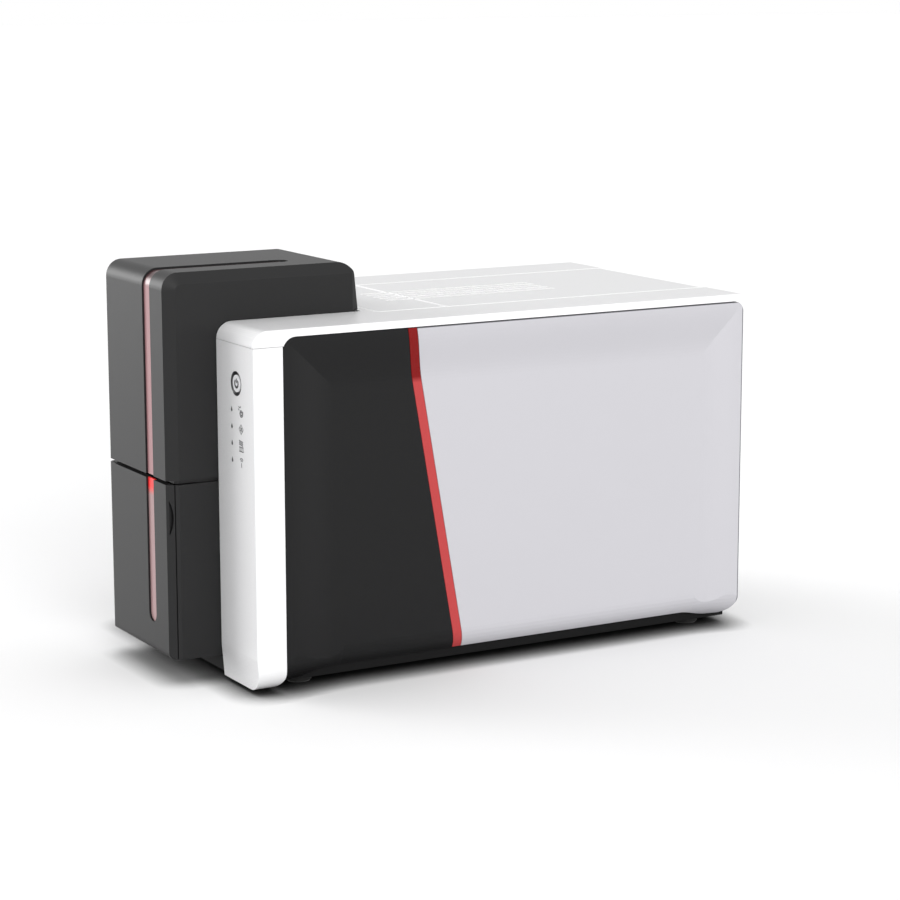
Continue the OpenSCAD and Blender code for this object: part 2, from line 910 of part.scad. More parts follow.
module print_head() {
    color("#d8d2c4")
    along_x(tower_x - head_half, tower_x + head_half)
        polygon([
            [head_y - 2.5, head_z], [head_y + 3.5, head_z], [head_y + 9, head_z + 4],
            [head_y + 9, head_z + 18], [head_y - 5, head_z + 18], [head_y - 5, head_z + 4]
        ]);
}

// Release pad

module release_pad() {
    color("#f4f4f4")
    difference() {
        union() {
            intersection() {
                along_y(pad_front, pad_back)
                    skin_section();
                translate([0, 0, top_in - 1])
                    linear_extrude(body_h)
                        round_rect([-hood_w / 2, pad_front], [hood_w / 2, pad_back],
                            [3.5, 3.5, 0.4, 0.4]);
                along_x(-body_w, body_w)
                    polygon([
                        [pad_front, top_in - 5], [pad_back, top_in - 5],
                        [pad_back, body_h - 0.9], [pad_back - 0.9, body_h],
                        [pad_front + 0.9, body_h], [pad_front, body_h - 0.9]
                    ]);
            }
            // Stiffening ribs under the skin
            for (y = [pad_front + 3, pad_back - 5])
                slab([-hood_w / 2 + 4, y, top_in - 4], [hood_w / 2 - 4, y + 2, top_in + 0.5]);
            for (x = [-hood_w / 2 + 4, hood_w / 2 - 6])
                slab([x, pad_front + 3, top_in - 4], [x + 2, pad_back - 3, top_in + 0.5]);
            pad_posts(post_r, bridge_z - 2 - pad_travel, top_in + 0.5);
        }
        slot_cuts(top_in - 1, body_h + 1);
    }
}

// Tower

// Side view of the tower skin, set in by d: its rear leans forward above the body
back_lean = 3;

module tower_profile(d, z0) {
    polygon(concat(
        [[y_tower + d, z0], [y_tower + d, tower_h - d]],
        arc([y_back - back_lean - tower_r, tower_h - tower_r], tower_r - d, 90, 0),
        [[y_back - d, body_h], [y_back - d, z0]]
    ));
}

// Share of the bevel that is left at the depth d below the skin
bevel_long = sqrt(pow(bevel_w, 2) + pow(bevel_d, 2));
function bevel_at(d) = 1 - d * (bevel_w + bevel_d - bevel_long) / (bevel_w * bevel_d);

// Plan view of the tower, set in by d, from the front to y1
module tower_plan(d, y1) {
    bw = bevel_w * bevel_at(d);
    bd = bevel_d * bevel_at(d);
    polygon(concat(
        [
            [tower_l + d, y_tower + d + bw], [tower_l + d + bd, y_tower + d],
            [tower_r_x - d - bd, y_tower + d], [tower_r_x - d, y_tower + d + bw]
        ],
        arc([tower_r_x - 3, y1 - 3], 3 - d * 0.9, 0, 90, 4),
        arc([tower_l + 3, y1 - 3], 3 - d * 0.9, 90, 180, 4)
    ));
}

// Plan view of the cover, with smaller bevels at the rear that the inside doesn't follow
module cover_plan(d) {
    bw = bevel_w * bevel_at(d);
    bd = bevel_d * bevel_at(d);
    rear = 0.75 * (1.05 - d / wall);
    polygon([
        [tower_l + d, y_tower + d + bw], [tower_l + d + bd, y_tower + d],
        [tower_r_x - d - bd, y_tower + d], [tower_r_x - d, y_tower + d + bw],
        [tower_r_x - d, y_back - d - rear * bw], [tower_r_x - d - rear * bd, y_back - d],
        [tower_l + d + rear * bd, y_back - d], [tower_l + d, y_back - d - rear * bw]
    ]);
}

// Front view of the tower, set in by d, above z0
module tower_front(d, z0) {
    bw = bevel_w * bevel_at(d);
    bd = bevel_d * bevel_at(d);
    polygon([
        [tower_l + d, z0], [tower_r_x - d, z0], [tower_r_x - d, tower_h - d - bw],
        [tower_r_x - d - bd, tower_h - d], [tower_l + d + bd, tower_h - d],
        [tower_l + d, tower_h - d - bw]
    ]);
}

// What the round top front edge and its bevels take away
module tower_corner(d) {
    bw = bevel_w * bevel_at(d);
    bd = bevel_d * bevel_at(d);
    y_c = y_tower + tower_r;
    z_c = tower_h - tower_r;
    difference() {
        slab([tower_l - 1, y_tower - 1, z_c], [tower_r_x + 1, y_c, tower_h + 1]);
        bar_x([y_c, z_c], tower_r - d, tower_l + d + bd, tower_r_x - d - bd);
        for (side = [-1, 1])
            translate([tower_x + side * (tower_w / 2 - d - bd), y_c, z_c])
                rotate([0, side * 90, 0])
                    cylinder(r1 = tower_r - d, r2 = tower_r - d - bw, h = bd);
    }
}

module tower_block(d, z0) {
    difference() {
        intersection() {
            along_x(tower_l, tower_r_x)
                tower_profile(d, z0);
            linear_extrude(tower_h + 1)
                cover_plan(d);
            along_y(y_tower, y_back)
                tower_front(d, z0);
        }
        tower_corner(d);
    }
}

module tower_skin(d0, d1) {
    difference() {
        tower_block(d0, z_cover);
        tower_block(d1, z_cover - 5);
    }
}

win_x0 = tower_x + window_off - window_w / 2;
win_x1 = win_x0 + window_w;

// Slot of the level window in plan, widened by d
module window_plan(d) {
    polygon(concat(
        [[win_x0 - d, y_tower - 5], [win_x1 + d, y_tower - 5]],
        arc([win_x0 + window_w / 2, y_tower + window_top - window_w / 2],
            window_w / 2 + d, 0, 180)
    ));
}

flap_lug_x = [tower_l + 7, tower_r_x - 10];

module feeder_cover() {
    color("#3b3b3d")
    difference() {
        union() {
            tower_skin(0, wall);
            // Hinge lugs under the top
            intersection() {
                for (x = flap_lug_x)
                    along_x(x, x + 3)
                        polygon(concat(
                            arc([flap_y, flap_z], flap_r, 180, 360),
                            [[flap_y + flap_r, tower_h - wall + 0.5],
                                [flap_y - flap_r, tower_h - wall + 0.5]]
                        ));
                tower_block(wall - 0.5, z_cover);
            }
        }
        for (x = flap_lug_x)
            bar_x([flap_y, flap_z], pin_d / 2 + run, x - 1, x + 4);
        translate([0, 0, z_cover - 1])
            linear_extrude(tower_h)
                window_plan(0);
        // The rear is open below the top of the body
        slab([tower_l - 1, y_back - wall - 1, z_cover - 1], [tower_r_x + 1, y_back + 1, body_h + gap]);
    }
}

module feeder_window() {
    color("#b06a6a")
    intersection() {
        tower_skin(window_in, wall);
        translate([0, 0, z_cover - 1])
            linear_extrude(tower_h)
                window_plan(-0.15);
    }
}

module feeder_pin() {
    color("#c8ccd0")
    bar_x([flap_y, flap_z], pin_d / 2, arm_x[0] - 0.5, arm_x[1] + 3.5);
}

// Feeder inside

arm_x = [flap_lug_x[0] - 3.4, flap_lug_x[1] + 3.4];
deck_y0 = door_y + gap + 0.5;
deck_y1 = y_back - 1;
deck_x0 = tower_l + wall + gap;
deck_x1 = tower_r_x - wall - gap;
pick_z = floor_z + 0.5 - pick_d / 2;
pick_half = 8;

module feeder_deck() {
    color("#1d1d1f")
    difference() {
        union() {
            intersection() {
                slab([deck_x0, deck_y0, z_hopper + seat], [deck_x1, deck_y1, track_z - 0.8]);
                linear_extrude(tower_h)
                    tower_plan(wall + gap, y_back);
            }
            // Skirt inside the hopper walls
            slab([deck_x0 + gap, deck_y0 + 14, z_hopper - 3], [deck_x1 - gap, deck_y1 - wall - 2,
                z_hopper + 1]);
            // Bearings of the pick roller
            for (x = [tower_x - pick_half - 4.5, tower_x + pick_half + 1.5])
                slab([x, pick_y - 7, pick_z - 6], [x + 3, pick_y + 7, z_hopper + 1]);
        }
        slab([tower_x - pick_half - 1.5, pick_y - pick_d / 2 - 1.5, z_hopper - 9],
            [tower_x + pick_half + 1.5, pick_y + pick_d / 2 + 1.5, track_z + 5]);
        slab([tower_x + pick_half + 4.5, pick_y - 8, z_hopper - 9],
            [deck_x1 - 4, pick_y + 8, track_z + 5]);
        bar_x([pick_y, pick_z], pick_shaft + run, tower_x - 20, tower_x + pick_half + 5);
        // Clear of the card bay below
        slab([tower_x - bay_half + 3, bay_y0 + 2, z_hopper - 9],
            [tower_x + bay_half - 3, pick_y - 14, z_hopper + seat + 1.5]);
    }
}

pick_shaft = 2;

module pick_roller() {
    color("#3a3a3a")
    union() {
        bar_x([pick_y, pick_z], pick_d / 2, tower_x - pick_half, tower_x + pick_half);
        bar_x([pick_y, pick_z], pick_shaft, tower_x - pick_half - 5.5, tower_x + pick_half + 8);
    }
}

module pick_motor() {
    color("#9a9ea2")
    difference() {
        union() {
            bar_x([pick_y, pick_z], 6, tower_x + pick_half + 4.8, deck_x1 - 4.3);
            // Clip to the deck
            slab([tower_x + pick_half + 8, pick_y - 7.7, pick_z - 2],
                [deck_x1 - 8, pick_y + 7.7, pick_z + 2]);
        }
        bar_x([pick_y, pick_z], pick_shaft + run, tower_x + pick_half + 4, tower_x + pick_half + 9);
    }
}

mag_top = floor_z + stack_h + 8;
rear_y = bay_y1 + mag_wall;

module card_magazine() {
    color("#26272b")
    difference() {
        union() {
            // Floor
            slab([tower_x - bay_half - mag_wall, bay_y0 - mag_wall, track_z - 0.5],
                [tower_x + bay_half + mag_wall, rear_y, floor_z]);
            // Side walls
            for (x = [tower_x - bay_half - mag_wall, tower_x + bay_half])
                slab([x, bay_y0 - mag_wall, floor_z - 1], [x + mag_wall, rear_y, mag_top]);
            // Front returns
            for (x = [tower_x - bay_half - mag_wall, tower_x + bay_half - 6])
                slab([x, bay_y0 - mag_wall, floor_z - 1], [x + 6 + mag_wall, bay_y0, mag_top]);
            // Rear wall, wide enough to carry the hinge arms
            slab([arm_x[0], bay_y1, track_z - 0.5], [arm_x[1] + 3, rear_y + 1, mag_top]);
            for (x = arm_x)
                along_x(x, x + 3)
                    difference() {
                        union() {
                            polygon([
                                [bay_y1, mag_top - 60], [rear_y + 1, mag_top - 60],
                                [flap_y, flap_z] + 17 * [cos(arm_slope), sin(arm_slope)],
                                [flap_y, flap_z] + flap_r * [cos(arm_slope), sin(arm_slope)],
                                [flap_y, flap_z] + flap_r * [cos(110), sin(110)],
                                [bay_y1, mag_top + 4]
                            ]);
                            translate([flap_y, flap_z])
                                circle(r = flap_r);
                        }
                        translate([flap_y, flap_z])
                            circle(r = pin_d / 2 + run);
                    }
        }
        // Gate that lets one card through
        slab([tower_x - bay_half, bay_y1 - 1, floor_z], [tower_x + bay_half, rear_y + 2, floor_z + 1.6]);
        // Window of the pick roller
        slab([tower_x - pick_half - 1.5, pick_y - pick_d / 2 - 1.5, track_z - 2],
            [tower_x + pick_half + 1.5, pick_y + pick_d / 2 + 1.5, floor_z + 1]);
        // Room for the motor of the pick roller
        slab([tower_x + pick_half + 1, pick_y - 8.5, track_z - 2],
            [tower_x + bay_half + 5, pick_y + 8.5, track_z + 0.2]);
        // Guide slots of the gauge lever
        for (s = [-1, 1])
            translate([tower_x + s * 5, 0, 0])
                slab([-1.1, bay_y1 - 1, floor_z + 8], [1.1, rear_y + 2, floor_z + 20 + gauge_travel]);
    }
}

weight_t = 9;

module card_weight() {
    color("#4a4c50")
    union() {
        slab([tower_x - bay_half + 0.3, bay_y0 + 3, floor_z + card_t],
            [tower_x + bay_half - 0.3, bay_y1 - 0.5, floor_z + card_t + weight_t]);
        // Grip
        slab([tower_x - 12, bay_y0 + 26, floor_z + card_t + weight_t - 1],
            [tower_x + 12, bay_y0 + 30, floor_z + card_t + weight_t + 12]);
    }
}

gauge_travel = 4;

module gauge_lever() {
    color("#c8ccd0")
    union() {
        slab([tower_x - 9, rear_y + 1 + seat, floor_z + 9],
            [tower_x + 9, rear_y + 3 + seat, floor_z + 21]);
        // Tongues in the guide slots
        for (s = [-1, 1])
            translate([tower_x + s * 5, 0, 0])
                slab([-0.8, bay_y1 + 0.3, floor_z + 9.5], [0.8, rear_y + 2, floor_z + 17]);
        slab([tower_x - 3, rear_y + 2, floor_z + 13], [tower_x + 3, rear_y + 8, floor_z + 16]);
    }
}

// Hopper

ear_h = 3;
ear_in = 3.5;
ear_room = ear_in + 0.4;
guide_top = z_hopper - 16;

// Block with the round lower left corner and the rounded lower front edge of the hopper
module hopper_round() {
    corner = 6;
    edge = 4;
    intersection() {
        along_y(y_tower, y_back)
            polygon(concat(
                arc([tower_l + corner, hopper_z + corner], corner, 180, 270),
                [[tower_r_x + 1, hopper_z], [tower_r_x + 1, z_hopper], [tower_l, z_hopper]]
            ));
        along_x(tower_l - 1, tower_r_x + 2)
            polygon(concat(
                arc([y_tower + edge, hopper_z + edge], edge, 180, 270),
                [[y_back, hopper_z], [y_back, z_hopper + 1], [y_tower, z_hopper + 1]]
            ));
    }
}

// Plan of an ear that holds the door pin: it reaches round the knuckle from behind
module ear_plan() {
    difference() {
        union() {
            circle(r = ear_in);
            polygon([
                [0, -0.5], [edge_r - 0.1, -0.5], [edge_r - 0.1, 2 * edge_r], [-edge_r, 2 * edge_r],
                [-edge_r, edge_r + 1.1], [1.6, edge_r + 1.1], [1.6, 2]
            ]);
        }
        circle(r = 1.5 + run);
    }
}

module hopper_body() {
    color("#333335")
    difference() {
        union() {
            difference() {
                intersection() {
                    slab([tower_l, door_y + gap, hopper_z], [tower_r_x, y_back - gap, z_hopper]);
                    linear_extrude(z_hopper + 1)
                        tower_plan(0, y_back - gap);
                }
                slab([tower_l + wall, door_y - 1, hopper_z + wall],
                    [tower_r_x - wall, y_back - gap - wall, z_hopper + 1]);
                // The left wall stands back from the door knuckle
                translate([knuckle[0], knuckle[1], hopper_z - 1])
                    cylinder(r = edge_r + gap, h = z_hopper);
            }
            intersection() {
                for (z = [hopper_z, z_hopper - ear_h])
                    translate([knuckle[0], knuckle[1], z])
                        linear_extrude(ear_h)
                            ear_plan();
                hopper_round();
            }
            // Card bay
            for (x = [tower_x - bay_half - mag_wall, tower_x + bay_half])
                slab([x, bay_y0 + 1, hopper_z + 1], [x + mag_wall, bay_y1 + 1, guide_top]);
            slab([tower_x - bay_half - mag_wall, bay_y1, hopper_z + 1],
                [tower_x + bay_half + mag_wall, bay_y1 + mag_wall, guide_top]);
        }
        // Slot that drops the cards in
        slab([tower_x - bay_half - 1, y_back - wall - 2, guide_top + 2],
            [tower_x + bay_half + 1, y_back + 1, guide_top + 9]);
        // Thumb scoop in the card bay wall
        bar_y([tower_x, guide_top], 14, bay_y1 - 1, bay_y1 + mag_wall + 1);
    }
}

// Room for an ear: only the front skin and the front of the knuckle pass before it
module ear_pocket(z0, z1) {
    translate([knuckle[0], knuckle[1], z0])
        linear_extrude(z1 - z0) {
            circle(r = ear_room);
            polygon([
                [-edge_r - 1, 0], [0, 0], [0, -ear_room], [edge_r + gap, -ear_room],
                [edge_r + gap, edge_r + 1], [-edge_r - 1, edge_r + 1]
            ]);
        }
}

scoop_y0 = y_tower + 1.5;
scoop_y1 = door_y - 0.6;
scoop_in = scoop_y1 - scoop_y0;
scoop_r = (pow(scoop_h / 2, 2) + pow(scoop_in, 2)) / (2 * scoop_in);

// Door with its knuckle at the left edge
module hopper_door() {
    color("#333335")
    difference() {
        intersection() {
            union() {
                linear_extrude(z_hopper)
                    polygon([
                        [knuckle[0], y_tower], [tower_r_x - bevel_d, y_tower],
                        [tower_r_x - bevel_d * (1 - door_t / bevel_w), door_y],
                        [knuckle[0], door_y]
                    ]);
                translate([knuckle[0], knuckle[1], 0])
                    cylinder(r = edge_r, h = z_hopper);
            }
            hopper_round();
        }
        translate([knuckle[0], knuckle[1], 0])
            cylinder(r = 1.5 + run, h = z_hopper + 5);
        ear_pocket(hopper_z - 1, hopper_z + ear_h + seat);
        ear_pocket(z_hopper - ear_h - seat, z_hopper + 1);
        // Level window
        along_y(y_tower - 1, door_y + 1)
            lower_window(0);
        // Hollow back
        slab([knuckle[0] + edge_r + 3, y_tower + wall, hopper_z + 6], [win_x0 - 3, door_y + 1,
            z_hopper - 3]);
        slab([win_x1 + 3, y_tower + wall, hopper_z + 6], [tower_r_x - bevel_d - 2, door_y + 1,
            z_hopper - 3]);
        // Finger scoop in the opening edge
        intersection() {
            bar_x([scoop_y1 - scoop_r, z_hopper - 20], scoop_r, tower_r_x - bevel_d - 0.4,
                tower_r_x + 1);
            slab([tower_r_x - 10, scoop_y0, hopper_z], [tower_r_x + 5, door_y, z_hopper]);
        }
    }
}

module lower_window(d) {
    polygon(concat(
        [[win_x1 + d, z_hopper + 1], [win_x0 - d, z_hopper + 1]],
        arc([win_x0 + window_w / 2, window_z + window_w / 2], window_w / 2 + d, 180, 360)
    ));
}

module hopper_window() {
    color("#b06a6a")
    intersection() {
        along_y(y_tower + window_in, y_tower + wall)
            lower_window(-0.15);
        slab([win_x0, y_tower, 0], [win_x1, door_y, z_hopper]);
    }
}

module door_pin() {
    color("#c8ccd0")
    translate([knuckle[0], knuckle[1], hopper_z + 0.5])
        cylinder(r = 1.5, h = z_hopper - hopper_z - 1);
}

// Controls

module power_button() {
    color("#e9e9ea")
    union() {
        bar_y([button_x, button_z], button_d / 2, y_front + 0.3, y_front + 4);
        bar_y([button_x, button_z], 2, y_front + 3, y_front + 5.5);
    }
}

ring_slope = 0.8;

module panel_lights() {
    color("#1b1b1c")
    union() {
        difference() {
            union() {
                bar_y([button_x, button_z], ring_d / 2, y_front + 0.05, y_front + wall + 0.5);
                bar_y([button_x, button_z], ring_d / 2 + 1.5, y_front + wall + seat,
                    y_front + wall + 1.8);
            }
            bar_y([button_x, button_z], button_d / 2 + run, y_front - 1, y_front + 7);
            // The ring slopes in towards the button
            translate([button_x, y_front + 0.05, button_z])
                rotate([-90, 0, 0])
                    cylinder(r1 = ring_d / 2 - 0.05, r2 = button_d / 2, h = ring_slope);
        }
        // Light guides, joined behind the strip
        light_drops(drop_r, y_front + 0.05, y_front + wall + 1);
        slab([light_x - 2, y_front + wall + seat, light_z - 3 * light_pitch - 2],
            [light_x + 2, y_front + wall + 1.8, button_z - button_d / 2 + 1]);
    }
}

panel_board_y = y_front + 9;

module panel_board() {
    color("#2f6b3c")
    difference() {
        union() {
            slab([tower_r_x + gap + wall + seat, panel_board_y, light_z - 40],
                [x_side - wall - seat, panel_board_y + 1.6, button_z + 14]);
            // Switch behind the button
            slab([button_x - 3, y_front + 6.8, button_z - 3],
                [button_x + 3, panel_board_y + 0.5, button_z + 3]);
            for (i = [0:3])
                slab([light_x - 1.2, y_front + wall + 2.1, light_z - i * light_pitch - 1.2],
                    [light_x + 1.2, panel_board_y + 0.5, light_z - i * light_pitch + 1.2]);
        }
    }
}

module main_board() {
    color("#2f6b3c")
    union() {
        slab([board_x0, board_y0, board_z], [board_x1, board_y1, board_z + 1.6]);
        slab([board_x0 + 24, board_y0 + 50, board_z + 1], [board_x0 + 42, board_y0 + 68, board_z + 3.6]);
        for (i = [0:2])
            translate([board_x1 - 12, board_y0 + 20 + 14 * i, board_z + 1])
                cylinder(r = 4, h = 13);
    }
}

// Socket with an open front, seated on the main board
module socket(p, inset) {
    difference() {
        slab([p[0], y_rear - 20, board_z + 1.6], [p[0] + p[1], y_rear - 0.4, board_z + 1.6 + p[2]]);
        slab([p[0] + inset, y_rear - 16, board_z + 1.6 + inset],
            [p[0] + p[1] - inset, y_rear + 1, board_z + 1.6 + p[2] - inset]);
    }
}

module data_ports() {
    color("#c0c4c8")
    union() {
        socket(ports[0], 1.2);
        socket(ports[1], 1.6);
    }
}

module power_inlet() {
    color("#1a1a1a")
    difference() {
        slab([ports[2][0], y_rear - 20, board_z + 1.6],
            [ports[2][0] + ports[2][1], y_rear - 0.4, board_z + 1.6 + ports[2][2]]);
        bar_y([ports[2][0] + ports[2][1] / 2, board_z + 1.6 + ports[2][2] / 2], 4.6,
            y_rear - 15, y_rear + 1);
    }
}

// Drive

// Half angle of a tooth at radius r, for pitch radius rp and base radius rb
function inv_half(r, rp, rb, teeth) =
    let (half = 90 / teeth - backlash / 4 / rp * 180 / PI)
    half + inv(rp, rb) - inv(r, rb);
function inv(r, rb) = r <= rb ? 0 : let (a = acos(rb / r)) tan(a) * 180 / PI - a;

// Spur gear profile with involute flanks, one tooth centred on the angle a0
module gear_2d(teeth, a0) {
    rp = gear_m * teeth / 2;
    rb = rp * cos(20);
    ra = rp + gear_m * 0.95;
    rf = rp - gear_m * 1.25;
    rs = max(rb, rf + 0.05);
    flank = [rs, (rs + rp) / 2, rp, (rp + ra) / 2, ra];
    pts = [for (i = [0:teeth - 1])
        let (a = a0 + i * 360 / teeth)
        each concat(
            [rf * [cos(a - inv_half(rs, rp, rb, teeth)), sin(a - inv_half(rs, rp, rb, teeth))]],
            [for (r = flank) r * [cos(a - inv_half(r, rp, rb, teeth)),
                sin(a - inv_half(r, rp, rb, teeth))]],
            [for (j = [4:-1:0]) let (r = flank[j]) r * [cos(a + inv_half(r, rp, rb, teeth)),
                sin(a + inv_half(r, rp, rb, teeth))]],
            [rf * [cos(a + inv_half(rs, rp, rb, teeth)), sin(a + inv_half(rs, rp, rb, teeth))]]
        )];
    polygon(pts);
}

module spur(teeth, a0, p, x0, x1) {
    translate([0, p[0], p[1]])
        along_x(x0, x1)
            gear_2d(teeth, a0);
}

module driven_roller(k) {
    union() {
        bar_x([row_y(k), axle_z], roller_r, tower_x - rubber_half, tower_x + rubber_half);
        bar_x([row_y(k), axle_z], shaft_r, gear_x0 - 1, plate_r + plate_t + 1.5);
        spur(roller_teeth, 0, [row_y(k), axle_z], gear_x0, gear_x1);
    }
}

module front_roller() {
    color("#55585c")
    driven_roller(-2);
}

module middle_roller() {
    color("#55585c")
    driven_roller(-1);
}

module platen_roller() {
    color("#55585c")
    driven_roller(0);
}

module rear_roller() {
    color("#55585c")
    driven_roller(1);
}

module idler(k) {
    color("#e6e2d6")
    difference() {
        spur(idler_teeth, 180 / idler_teeth, [row_y(k), axle_z], gear_x0, gear_x1);
        bar_x([row_y(k), axle_z], stud_r + run, gear_x0 - 1, gear_x1 + 1);
        for (a = [0:60:300])
            translate([0, row_y(k) + 8 * cos(a), axle_z + 8 * sin(a)])
                bar_x([0, 0], 2, gear_x0 - 1, gear_x1 + 1);
    }
}

module motor_pinion() {
    color("#c9a84a")
    union() {
        spur(pinion_teeth, 90 + 180 / pinion_teeth, motor_p, gear_x0, gear_x1);
        bar_x(motor_p, motor_shaft, motor_face - 4, gear_x1 + 0.5);
    }
}

motor_p = [row_y(-0.5), axle_z - motor_drop];
motor_shaft = 2.5;
motor_face = gear_x0 - 4;
motor_half = 17.5;
motor_end = plate_w + 5.5 - wall_x;

module motor_bracket() {
    color("#8f9498")
    difference() {
        union() {
            slab([motor_face - 2, motor_p[0] - motor_half - 3, tray_z + wall + seat],
                [motor_face, motor_p[0] + motor_half + 3, motor_p[1] + motor_half + 2]);
            slab([wall + gap - tray_x, motor_p[0] - motor_half - 3, tray_z + wall + seat],
                [motor_face, motor_p[0] + motor_half + 3, tray_z + wall + seat + 2]);
        }
        bar_x(motor_p, 8, motor_face - 5, motor_face + 2);
    }
}

module drive_motor() {
    color("#3c3f44")
    difference() {
        union() {
            along_x(motor_end, motor_face - 2)
                polygon([for (sy = [1, -1], i = [0, 1])
                    motor_p + [sy * (motor_half - (i == 0 ? 4 : 0)) * 1,
                        (sy == 1 ? 1 : -1) * (i == 0 ? motor_half : motor_half - 4)]]);
            bar_x(motor_p, 7.8, motor_face - 3, motor_face - 0.5);
        }
        bar_x(motor_p, motor_shaft + run, motor_face - 5, motor_face + 1);
    }
}

module pinch(k) {
    color("#c8ccd0")
    union() {
        bar_x([row_y(k), pinch_z()], pinch_d / 2, tower_x - rubber_half, tower_x + rubber_half);
        bar_x([row_y(k), pinch_z()], pinch_shaft, plate_l - plate_t - 1, plate_r + plate_t + 1);
    }
}

module cleaning_roller() {
    color("#5a8fc0")
    union() {
        bar_x([row_y(-1), cleaner_z()], cleaner_d / 2, tower_x - rubber_half, tower_x + rubber_half);
        bar_x([row_y(-1), cleaner_z()], pinch_shaft, plate_l - plate_t - 1, plate_r + plate_t + 1);
    }
}

// Ribbon

film_half = card_w / 2 - 0.1;

module spool(y, d) {
    difference() {
        union() {
            bar_x([y, ribbon_z], d / 2, tower_x - film_half, tower_x + film_half);
            bar_x([y, ribbon_z], core_d / 2, tower_x - film_half - 6, tower_x + film_half + 6);
            bar_x([y, ribbon_z], spindle_r, plate_l - plate_t - 2, plate_r + plate_t + 2);
        }
        // Hollow ends of the core
        for (x = [tower_x - film_half - 7, tower_x + film_half + 2])
            difference() {
                bar_x([y, ribbon_z], core_d / 2 - 1.6, x, x + 5);
                bar_x([y, ribbon_z], spindle_r, x - 1, x + 6);
            }
    }
}

module supply_spool() {
    color("#202024")
    spool(supply_y, supply_d);
}

module takeup_spool() {
    color("#202024")
    spool(takeup_y, takeup_d);
}

// Point where a line from p touches the circle round c, on the side that s gives
function touch(c, r, p, s) =
    let (d = norm(p - c), b = atan2(p[1] - c[1], p[0] - c[0]), a = acos(r / d))
    c + r * [cos(b + s * a), sin(b + s * a)];

module film_leg(p, q) {
    n = film_t * [-(q[1] - p[1]), q[0] - p[0]] / norm(q - p);
    polygon([p, q, q + n, p + n]);
}

module ribbon_film() {
    color("#8a7a2c")
    along_x(tower_x - film_half, tower_x + film_half) {
        a = [head_y - 4, film_z];
        b = [head_y + 5, film_z];
        s = touch([supply_y, ribbon_z], supply_d / 2 + film_t + 0.1, b, 1);
        t = touch([takeup_y, ribbon_z], takeup_d / 2 + film_t + 0.1, a, -1);
        union() {
            film_leg(t, a);
            film_leg(a, b);
            film_leg(b, s);
        }
    }
}

base_tray();
feet();
side_plate_left();
side_plate_right();
cross_bridge();
card_guide();
mirror([1, 0, 0]) side_wall();  // side_wall_left
side_wall();  // side_wall_right
front_cover_left();
front_cover_right();
top_cover();
rear_panel();
mirror([1, 0, 0]) panel_dark();  // panel_dark_left
panel_dark();  // panel_dark_right
mirror([1, 0, 0]) stripe();  // stripe_left
stripe();  // stripe_right
mirror([1, 0, 0]) panel_grey();  // panel_grey_left
panel_grey();  // panel_grey_right
hood_cover();
hood_frame();
hood_pin();
head_bracket();
print_head();
release_pad();
feeder_deck();
card_magazine();
feeder_cover();
feeder_window();
feeder_pin();
card_weight();
gauge_lever();
pick_roller();
pick_motor();
hopper_body();
hopper_door();
hopper_window();
door_pin();
power_button();
panel_lights();
panel_board();
main_board();
power_inlet();
data_ports();
drive_motor();
motor_bracket();
motor_pinion();
idler(-1.5);  // idler_front
idler(-0.5);  // idler_middle
idler(0.5);  // idler_rear
front_roller();
middle_roller();
platen_roller();
rear_roller();
pinch(-2);  // front_pinch
cleaning_roller();
pinch(1);  // rear_pinch
supply_spool();
takeup_spool();
ribbon_film();
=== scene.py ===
import bpy, bmesh, math
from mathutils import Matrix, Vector


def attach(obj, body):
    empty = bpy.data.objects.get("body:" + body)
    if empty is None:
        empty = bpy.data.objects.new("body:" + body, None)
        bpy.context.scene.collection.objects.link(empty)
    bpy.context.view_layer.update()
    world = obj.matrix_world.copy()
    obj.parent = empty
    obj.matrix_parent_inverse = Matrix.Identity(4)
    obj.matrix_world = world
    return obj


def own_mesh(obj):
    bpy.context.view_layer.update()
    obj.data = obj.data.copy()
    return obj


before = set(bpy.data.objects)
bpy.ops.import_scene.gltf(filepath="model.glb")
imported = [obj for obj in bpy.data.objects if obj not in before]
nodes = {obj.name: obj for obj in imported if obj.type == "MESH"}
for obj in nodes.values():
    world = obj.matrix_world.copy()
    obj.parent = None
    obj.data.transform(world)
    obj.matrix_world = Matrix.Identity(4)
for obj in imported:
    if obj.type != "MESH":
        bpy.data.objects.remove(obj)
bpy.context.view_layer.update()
print("frame loaded,", len(nodes), "nodes")

mm = 0.001


def addObject(name, data):
    made = bpy.data.objects.new(name, data)
    bpy.context.scene.collection.objects.link(made)
    return made

# Camera

view = {
    "place": (1.4295, -0.7832, 0.4252),   # metres
    "turn": (79.297, 0.0765, 60.285),     # degrees
    "lens": 103.66,                       # millimetres, as the sensor's width is
    "sensor": 36.0,
}

cameraData = bpy.data.cameras.new("camera")
cameraData.lens = view["lens"]
cameraData.sensor_width = view["sensor"]
camera = addObject("camera", cameraData)
camera.location = view["place"]
camera.rotation_euler = [math.radians(a) for a in view["turn"]]
bpy.context.scene.camera = camera
bpy.context.scene.view_settings.view_transform = "Standard"

# Shader nodes. A source is a fixed value or another node's output, and what adds a node
# gives its output back


def feed(tree, socket, source):
    if isinstance(source, bpy.types.NodeSocket):
        tree.links.new(source, socket)
    else:
        socket.default_value = source


def addMath(tree, operation, first, second=0.0):
    node = tree.nodes.new("ShaderNodeMath")
    node.operation = operation
    feed(tree, node.inputs[0], first)
    feed(tree, node.inputs[1], second)
    return node.outputs[0]


def addRange(tree, source, low=0.0, high=1.0, toLow=0.0, toHigh=1.0):
    node = tree.nodes.new("ShaderNodeMapRange")
    for label, value in (("Value", source), ("From Min", low), ("From Max", high),
                         ("To Min", toLow), ("To Max", toHigh)):
        feed(tree, node.inputs[label], value)
    return node.outputs["Result"]


